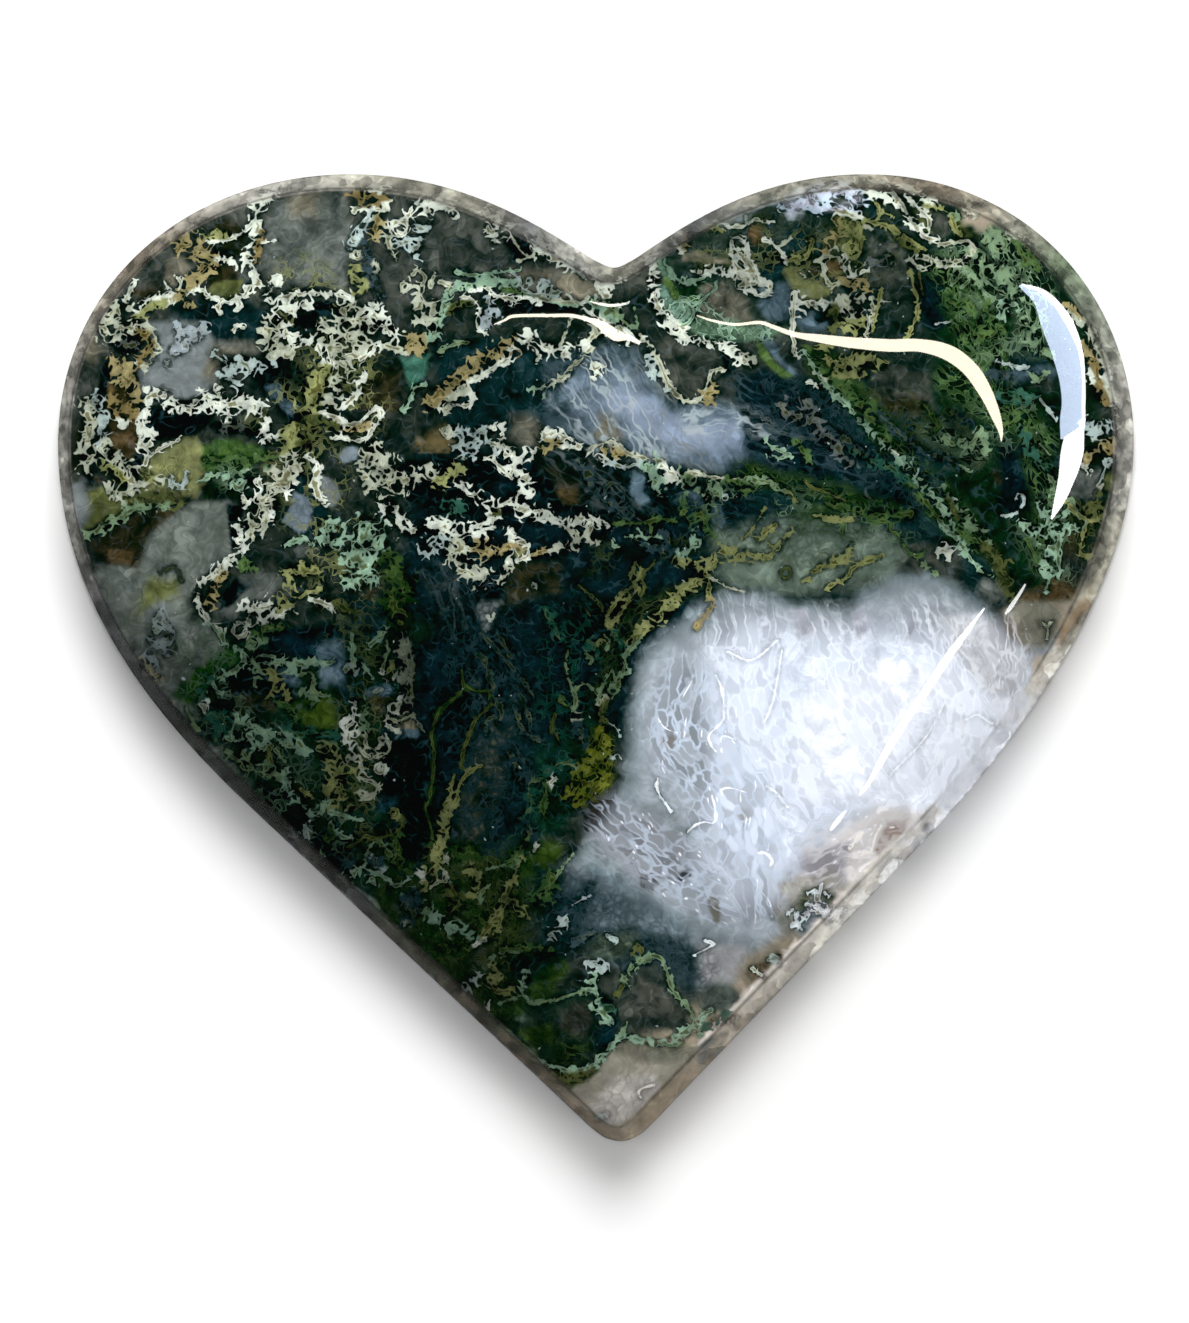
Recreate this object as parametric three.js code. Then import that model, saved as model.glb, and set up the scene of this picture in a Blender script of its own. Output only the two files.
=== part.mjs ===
// Moss agate heart: one stone, cut as a cabochon. It has a flat back with a
// small bevel, a steep wall, and a low dome that starts at a crisp rim edge.
// Millimetres, +Z up. The origin is the middle of the flat back, and the
// heart's point lies towards -Y.

import * as THREE from 'three';
import { LoftGeometry } from 'three/addons/geometries/LoftGeometry.js';

// Driving dimensions.

const THICKNESS = 10.8; // from the flat back to the top of the dome
const RIM_HEIGHT = 5; // from the flat back to the rim edge
const WALL_LEAN = { left: 0.8, right: 1.25 }; // how far the rim edge stands inside the outline
const BACK_BEVEL = 0.6; // width and height of the bevel round the back
const SHOULDER = 4.8; // the dome levels off by a factor e for each such step inwards
const POINT_ROUNDING = 2.35; // the round of the point starts this far from its corner

// The outline from above. The cleft lies between the lobes, and the corner is
// where the two straight sides would meet if the point were sharp.

const CLEFT = new THREE.Vector2( 1.0, 21.7 );
const CORNER = new THREE.Vector2( 1.4, - 27.7 );

// Each lobe runs from the cleft over its top and its cheek, the widest place,
// to its flank, where the side becomes straight. A reach is how far the curve
// keeps its direction at that place, before or after it.

const LEFT_LOBE = {
	top: new THREE.Vector2( - 13.6, 26.9 ),
	cheek: new THREE.Vector2( - 29.9, 11.9 ),
	flank: new THREE.Vector2( - 19.0, - 8.5 ),
	reach: { cleft: 1.4, topInner: 8.2, topOuter: 9.2, cheekUpper: 8.8, cheekLower: 8.8, flank: 7.6 }
};

const RIGHT_LOBE = {
	top: new THREE.Vector2( 15.0, 26.9 ),
	cheek: new THREE.Vector2( 29.9, 11.9 ),
	flank: new THREE.Vector2( 18.5, - 9.9 ),
	reach: { cleft: 1.4, topInner: 8.2, topOuter: 8.6, cheekUpper: 8.6, cheekLower: 8.0, flank: 6.6 }
};

// How finely the faces follow the form. The rings of faces close in on the
// hub, a place from which the whole outline can be seen.

const OUTLINE_POINTS = 176;
const DOME_RINGS = 12;
const SMALLEST_RING = 0.12; // of the rim's size
const RING_CROWDING = 1.6; // above 1, the rings lie closer together near the rim
const HUB = new THREE.Vector2( 0.8, 4 );

// The dome is shaped by a smooth distance from the rim, which adds up the rim
// in short steps, each by a power of its distance. A higher power follows the
// nearest side more closely. The sum is that of an endless straight side, one
// millimetre away, for this power.

const STEPS_PER_POINT = 4;
const SMOOTHING_POWER = 6;
const STRAIGHT_SIDE_SUM = 3 * Math.PI / 8;

const STONE_COLOUR = 0x3d463c;

// The direction of a lobe's straight side, towards the corner.
function sideDirection( lobe ) {

	return CORNER.clone().sub( lobe.flank ).normalize();

}

// The three curves of a lobe, from the cleft to the flank.
function lobeCurves( lobe ) {

	const { top, cheek, flank, reach } = lobe;
	const outward = Math.sign( top.x );

	return [
		new THREE.CubicBezierCurve(
			CLEFT,
			new THREE.Vector2( CLEFT.x + outward * reach.cleft, CLEFT.y ),
			new THREE.Vector2( top.x - outward * reach.topInner, top.y ),
			top
		),
		new THREE.CubicBezierCurve(
			top,
			new THREE.Vector2( top.x + outward * reach.topOuter, top.y ),
			new THREE.Vector2( cheek.x, cheek.y + reach.cheekUpper ),
			cheek
		),
		new THREE.CubicBezierCurve(
			cheek,
			new THREE.Vector2( cheek.x, cheek.y - reach.cheekLower ),
			flank.clone().addScaledVector( sideDirection( lobe ), - reach.flank ),
			flank
		)
	];

}

// A curve run the other way.
function reversed( curve ) {

	return new THREE.CubicBezierCurve( curve.v3, curve.v2, curve.v1, curve.v0 );

}

// The outline as evenly spaced points, counterclockwise from above.
function outlinePoints( count ) {

	const leftStop = CORNER.clone().addScaledVector( sideDirection( LEFT_LOBE ), - POINT_ROUNDING );
	const rightStop = CORNER.clone().addScaledVector( sideDirection( RIGHT_LOBE ), - POINT_ROUNDING );

	const path = new THREE.CurvePath();
	path.curves.push(
		...lobeCurves( LEFT_LOBE ),
		new THREE.LineCurve( LEFT_LOBE.flank, leftStop ),
		new THREE.QuadraticBezierCurve( leftStop, CORNER, rightStop ),
		new THREE.LineCurve( rightStop, RIGHT_LOBE.flank ),
		...lobeCurves( RIGHT_LOBE ).map( reversed ).reverse()
	);

	return path.getSpacedPoints( count ).slice( 0, count );

}

// The outline moved inwards, by one distance where it faces left and another
// where it faces right, and by something between the two elsewhere.
function inset( outline, { left, right } ) {

	return outline.map( ( point, i ) => {

		const before = outline.at( i - 1 );
		const after = outline[ ( i + 1 ) % outline.length ];
		const along = after.clone().sub( before ).normalize();
		const outward = new THREE.Vector2( along.y, - along.x );
		const distance = THREE.MathUtils.lerp( left, right, ( 1 + outward.x ) / 2 );

		return point.clone().addScaledVector( outward, - distance );

	} );

}

// The smooth distance from the rim. Near a straight side it is the plain
// distance, and between two sides it has no crease.
function smoothDistance( place, rim ) {

	let sum = 0;

	rim.forEach( ( point, i ) => {

		const next = rim[ ( i + 1 ) % rim.length ];
		const halfway = point.clone().lerp( next, 0.5 );
		sum += point.distanceTo( next ) / Math.pow( place.distanceTo( halfway ), SMOOTHING_POWER );

	} );

	return Math.pow( sum / STRAIGHT_SIDE_SUM, - 1 / ( SMOOTHING_POWER - 1 ) );

}

// How far the dome has risen at a distance from the rim, from 0 to nearly 1.
function risen( distance ) {

	return 1 - Math.exp( - distance / SHOULDER );

}

// A flat ring at one height.
function levelRing( points, height ) {

	return points.map( ( point ) => new THREE.Vector3( point.x, point.y, height ) );

}

// The whole stone, as rings from the middle of the flat back, out and up the
// wall, and in over the dome.
function stoneGeometry() {

	const outline = outlinePoints( OUTLINE_POINTS );
	const rim = inset( outline, WALL_LEAN );
	const fineRim = inset( outlinePoints( OUTLINE_POINTS * STEPS_PER_POINT ), WALL_LEAN );
	const back = inset( outline, { left: BACK_BEVEL, right: BACK_BEVEL } );
	const riseAtHub = risen( smoothDistance( HUB, fineRim ) );

	function domePoint( place ) {

		const rise = risen( smoothDistance( place, fineRim ) ) / riseAtHub;
		return new THREE.Vector3( place.x, place.y, RIM_HEIGHT + ( THICKNESS - RIM_HEIGHT ) * rise );

	}

	const sections = [
		levelRing( back.map( () => HUB ), 0 ),
		levelRing( back, 0 ),
		levelRing( outline, BACK_BEVEL ),
		levelRing( rim, RIM_HEIGHT )
	];

	for ( let ring = 1; ring <= DOME_RINGS; ring ++ ) {

		const share = 1 - ( 1 - SMALLEST_RING ) * Math.pow( ring / DOME_RINGS, RING_CROWDING );
		sections.push( rim.map( ( point ) => domePoint( HUB.clone().lerp( point, share ) ) ) );

	}

	sections.push( levelRing( rim.map( () => HUB ), THICKNESS ) );

	return new LoftGeometry( sections );

}

const stone = new THREE.Mesh(
	stoneGeometry(),
	new THREE.MeshStandardMaterial( { color: STONE_COLOUR, roughness: 0.08, metalness: 0 } )
);
stone.name = 'moss_agate_heart';

const heart = new THREE.Group();
heart.add( stone );

export default heart;
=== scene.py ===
# %% [markdown]
# A polished heart of moss agate. The real thing is one piece of chalcedony, a
# quartz too fine-grained to see, with other minerals grown inside it: green
# moss, cream lace, and a pocket of white quartz. A cutter saws a slab, grinds
# the outline and the dome, and polishes everything. The frame holds the cut
# shape, so this lesson makes the fine surface and paints the minerals in it.

# %% Load the frame
import math

import bpy
import numpy as np
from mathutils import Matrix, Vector
from mathutils.geometry import delaunay_2d_cdt


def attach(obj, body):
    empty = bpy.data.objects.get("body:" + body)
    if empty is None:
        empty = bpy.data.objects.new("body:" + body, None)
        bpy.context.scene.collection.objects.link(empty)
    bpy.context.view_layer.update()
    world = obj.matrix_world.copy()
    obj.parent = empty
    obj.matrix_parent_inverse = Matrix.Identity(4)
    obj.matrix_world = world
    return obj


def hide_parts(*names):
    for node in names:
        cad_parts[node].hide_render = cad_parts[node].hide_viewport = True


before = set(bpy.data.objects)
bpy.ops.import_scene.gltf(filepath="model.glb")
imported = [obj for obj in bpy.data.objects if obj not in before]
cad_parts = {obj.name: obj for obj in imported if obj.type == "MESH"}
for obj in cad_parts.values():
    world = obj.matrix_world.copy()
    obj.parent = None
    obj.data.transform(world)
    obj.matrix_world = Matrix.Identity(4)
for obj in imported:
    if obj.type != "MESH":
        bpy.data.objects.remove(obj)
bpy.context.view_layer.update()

MM = 0.001

# %% [markdown]
# The cut has one section all round: a flat back, a small bevel, a steep wall,
# a crisp rim edge, and a dome. The sizes below are the cutter's, in
# millimetres. The outline comes from the frame, so that both tools agree.

# %% The sizes of the cut
BACK_BEVEL = 0.6  # width and height
RIM_HEIGHT = 5.0
DOME_RISE = 5.8  # from the rim edge to the top
WALL_LEAN_LEFT = 0.8  # how far the rim edge stands inside the outline
WALL_LEAN_RIGHT = 1.25
SHOULDER = 4.8  # the dome levels off by a factor e for each such step inwards
HUB = np.array([0.8, 4.0])  # a place that sees the whole outline
SMOOTHING_POWER = 6
STRAIGHT_SIDE_SUM = 3 * math.pi / 8  # for this power

AROUND = 800  # points round the outline, a quarter of a millimetre apart
FINER = 5  # so many times more points where the rim's distance is measured closely
TOP_SPACING = 0.138  # between corners of the top surface, where it is finest
COARSER = 3  # times that where nothing is drawn
BACK_SPACING = 0.5
POLISH_ROUNDING = 0.14  # how far polishing rounds an edge, along each side of it
WALL_RINGS = 12

# %% Read the outline
LEVEL_TOLERANCE = 0.02
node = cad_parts["moss_agate_heart"]
cad_corners = np.array([vertex.co[:] for vertex in node.data.vertices]) / MM


def turn_round_hub(points):
    """The angle of each point as seen from the hub."""
    return np.arctan2(points[:, 1] - HUB[1], points[:, 0] - HUB[0])


def cad_ring(height):
    """The frame's corners at one height, counterclockwise from above."""
    level = cad_corners[np.abs(cad_corners[:, 2] - height) < LEVEL_TOLERANCE]
    ring = np.unique(np.round(level[:, :2], 4), axis=0)
    return ring[np.argsort(turn_round_hub(ring))]


def evenly_spaced(loop, count):
    """Points at equal steps along a closed line."""
    closed = np.vstack([loop, loop[:1]])
    travelled = np.concatenate([[0], np.cumsum(np.linalg.norm(np.diff(closed, axis=0), axis=1))])
    stops = np.linspace(0, travelled[-1], count, endpoint=False)
    return np.stack([np.interp(stops, travelled, closed[:, axis]) for axis in (0, 1)], axis=1)


def between(points, share, before, after, later):
    """Where a smooth curve lies, a share of the way from each point to the next."""
    return 0.5 * (2 * points + (after - before) * share
                  + (2 * before - 5 * points + 4 * after - later) * share ** 2
                  + (3 * points - before - 3 * after + later) * share ** 3)


def smooth_loop(points, count, steps=24):
    """A closed smooth curve through points."""
    before, after, later = (np.roll(points, shift, axis=0) for shift in (1, -1, -2))
    rows = [between(points, share, before, after, later) for share in np.arange(steps) / steps]
    return evenly_spaced(np.stack(rows, axis=1).reshape(-1, 2), count)


def cut_outline(count):
    """The outline, its outward directions, and how far the wall leans in there."""
    loop = smooth_loop(cad_ring(BACK_BEVEL), count)
    along = np.roll(loop, -1, axis=0) - np.roll(loop, 1, axis=0)
    along /= np.linalg.norm(along, axis=1)[:, None]
    facing = np.stack([along[:, 1], -along[:, 0]], axis=1)
    share = (1 + facing[:, :1]) / 2
    return loop, facing, WALL_LEAN_LEFT + (WALL_LEAN_RIGHT - WALL_LEAN_LEFT) * share


outline, outward, lean = cut_outline(AROUND)
fine_outline, fine_outward, fine_lean = cut_outline(AROUND * FINER)
fine_rim = fine_outline - fine_outward * fine_lean
print("outline", outline.min(axis=0).round(2), outline.max(axis=0).round(2))

# %% [markdown]
# The dome rises with the distance from the rim. A plain nearest distance would
# leave a crease down the middle, where two sides are equally near. A sum over
# the whole rim, each piece weighted by a high power of its nearness, gives the
# same distance near an edge and no crease. The frame's dome is made this way.

# %% The dome's height
PLACES_AT_ONCE = 2000  # so that the tables of distances stay small
NEAR_RIM = 3.0  # closer than this, the rim is taken finely
SPARSE_STEP = 8  # elsewhere only every eighth point of it


def rim_distance(places, loop):
    """A smooth distance from a loop, added up over its steps."""
    step = np.linalg.norm(np.roll(loop, -1, axis=0) - loop, axis=1)
    halfway = (np.roll(loop, -1, axis=0) + loop) / 2
    total = np.empty(len(places))
    for start in range(0, len(places), PLACES_AT_ONCE):
        part = places[start:start + PLACES_AT_ONCE]
        squared = (part[:, :1] - halfway[:, 0]) ** 2 + (part[:, 1:] - halfway[:, 1]) ** 2
        total[start:start + len(part)] = (step / squared ** (SMOOTHING_POWER / 2)).sum(axis=1)
    return (total / STRAIGHT_SIDE_SUM) ** (-1 / (SMOOTHING_POWER - 1))


def smooth_distance(places, loop=fine_rim):
    """The same in less time: the loop is taken finely only where it is near."""
    distance = rim_distance(places, loop[::SPARSE_STEP])
    near = distance < NEAR_RIM
    distance[near] = rim_distance(places[near], loop)
    return distance


def risen(distance):
    """How far the dome has risen, from 0 to nearly 1."""
    return 1 - np.exp(-distance / SHOULDER)


rise_at_hub = risen(smooth_distance(HUB[None]))[0]


def on_dome(places):
    """Places given from above, lifted onto the dome."""
    height = RIM_HEIGHT + DOME_RISE * risen(smooth_distance(places)) / rise_at_hub
    return np.column_stack([places, height])


print("highest place", on_dome(HUB[None])[0].round(2))


# %% [markdown]
# The wall and its edges are rings, one above the other. Polishing leaves no
# edge truly sharp, so each edge becomes a short curve: it starts on one side,
# ends on the other, and the sharp corner only pulls at it.

# %% Rings up the wall
def wall_ring(inset, lean_share, height):
    """A ring inside the outline by a distance and by a share of the wall's lean."""
    place = outline - outward * (inset + lean_share * lean)
    return np.column_stack([place, np.full(AROUND, height)])


def polished_edge(before, corner, after, steps=4):
    """Rings round an edge, from one side of it to the other."""
    shares = np.arange(steps + 1) / steps
    return [before * (1 - s) ** 2 + corner * 2 * s * (1 - s) + after * s ** 2 for s in shares]


wall_share = POLISH_ROUNDING / (RIM_HEIGHT - BACK_BEVEL)
bevel_share = POLISH_ROUNDING / BACK_BEVEL
on_back = wall_ring(BACK_BEVEL + POLISH_ROUNDING, 0, 0)
bevel_foot = wall_ring(BACK_BEVEL, 0, 0)
bevel_top = wall_ring(0, 0, BACK_BEVEL)
rim_edge = wall_ring(0, 1, RIM_HEIGHT)
above_rim = on_dome(rim_edge[:, :2] - outward * POLISH_ROUNDING)

up_bevel, up_wall = bevel_top - bevel_foot, rim_edge - bevel_top
back_edge = polished_edge(on_back, bevel_foot, bevel_foot + up_bevel * bevel_share)
wide_edge = polished_edge(bevel_top - up_bevel * bevel_share, bevel_top, bevel_top + up_wall * wall_share)
top_edge = polished_edge(rim_edge - up_wall * wall_share, rim_edge, above_rim)
wall = [wide_edge[-1] * (1 - s) + top_edge[0] * s for s in np.linspace(0, 1, WALL_RINGS)[1:-1]]
rings = back_edge + wide_edge + wall + top_edge
print(len(rings), "rings of", AROUND, "points")

# %% [markdown]
# The top and the back are filled with a lattice of equal triangles, like the
# cells of a honeycomb, because the markings are painted on its corners and
# need them evenly close together. Blender's own triangulation joins the
# lattice to the last ring.

# %% Fill a ring with a lattice
def within(points, loop, margin):
    """Which points lie inside a loop by more than a margin."""
    turns = turn_round_hub(loop)
    reach = np.linalg.norm(loop - HUB, axis=1)
    order = np.argsort(turns)
    limit = np.interp(turn_round_hub(points), turns[order], reach[order], period=2 * math.pi)
    inside = np.linalg.norm(points - HUB, axis=1) < limit
    inside[inside] = rim_distance(points[inside], loop) > margin
    return inside


# %% [markdown]
# The markings are drawn as the photograph shows them, so a small map turns a
# place on the stone into a place in the picture. The camera looks straight
# down from far away, and a higher place shows a little further out.

# %% Where a place shows in the picture
PIXELS_PER_MM = 18.0  # at the widest place of the stone
PICTURE_SIZE = np.array([1189, 1323])
ORIGIN_IN_PICTURE = np.array([596.0, 658.0])
CAMERA_DISTANCE = 1000.0  # above the widest place
picture_middle = (PICTURE_SIZE / 2 - ORIGIN_IN_PICTURE) * [1, -1] / PIXELS_PER_MM


def in_picture(points):
    """The picture places, in pixels, of points on the stone in millimetres."""
    nearer = CAMERA_DISTANCE / (CAMERA_DISTANCE + BACK_BEVEL - points[:, 2:3])
    seen = picture_middle + (points[:, :2] - picture_middle) * nearer
    return ORIGIN_IN_PICTURE + seen * [1, -1] * PIXELS_PER_MM


def under_picture(pixels):
    """The places on the dome, seen from above in millimetres, that show at pixels."""
    seen = (pixels - ORIGIN_IN_PICTURE) * [1, -1] / PIXELS_PER_MM
    place = seen
    for _ in range(2):
        nearer = CAMERA_DISTANCE / (CAMERA_DISTANCE + BACK_BEVEL - on_dome(place)[:, 2:3])
        place = picture_middle + (seen - picture_middle) / nearer
    return place

# %% [markdown]
# A palette of the minerals' colours. Chalcedony itself is smoky grey and
# see-through, so thick clear stone looks nearly black. Iron makes it tan,
# amber and brown, and chlorite and celadonite make the greens.

# %% The minerals' colours
COLOURS = {
    "ink": "#020506",
    "navy": "#050c12",
    "slate": "#131a1d",
    "steel": "#39424b",
    "dusk": "#201f1c",
    "smoke": "#34322e",
    "grey": "#4c4b49",
    "lilac": "#6a6b6d",
    "pearl": "#959aa1",
    "taupe": "#574f45",
    "beige": "#988c7a",
    "umber": "#241c12",
    "brown": "#473623",
    "amber": "#846f4a",
    "tan": "#9a8862",
    "cream": "#d6d4ca",
    "bone": "#b5b3a3",
    "white": "#eeece4",
    "frost": "#a9b2b2",
    "olive": "#525230",
    "straw": "#8c8a5c",
    "moss": "#3a4823",
    "leaf": "#4e623a",
    "pine": "#0d160b",
    "sage": "#788a6e",
    "mint": "#90a893",
    "teal": "#38584c",
    "quartz": "#c3cde0",
    "chalk": "#f4f7ff",
    "oldgold": "#75762a",
}


def linear(hex_colour):
    """An sRGB hex colour as linear red, green and blue."""
    parts = np.array([int(hex_colour[i:i + 2], 16) / 255 for i in (1, 3, 5)])
    return np.where(parts <= 0.04045, parts / 12.92, ((parts + 0.055) / 1.055) ** 2.4)


def tint(name):
    """A colour of the palette, or a hex colour of its own, in linear light."""
    return linear(COLOURS.get(name, name))


def entries(text):
    """The entries of a table: the words before the marks, and the marks as rows of numbers.

    A mark of a stroke that gives no half width keeps the one before it.
    """
    found = []
    for word in text.split():
        is_mark = "," in word
        if not found or (found[-1][1] and not is_mark):
            found.append(([], []))
        if is_mark:
            mark = [float(part) for part in word.split(",")]
            if found[-1][1]:
                mark += found[-1][1][-1][len(mark):]
            found[-1][1].append(mark)
        else:
            found[-1][0].append(word)
    return [(words, np.array(marks)) for words, marks in found]


# %% [markdown]
# The drawing itself, region by region, in pixels of the picture. First the
# patches of ground colour: a colour, the softness of the edge, and the
# corners as x,y. A later patch lies over an earlier one.

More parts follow.
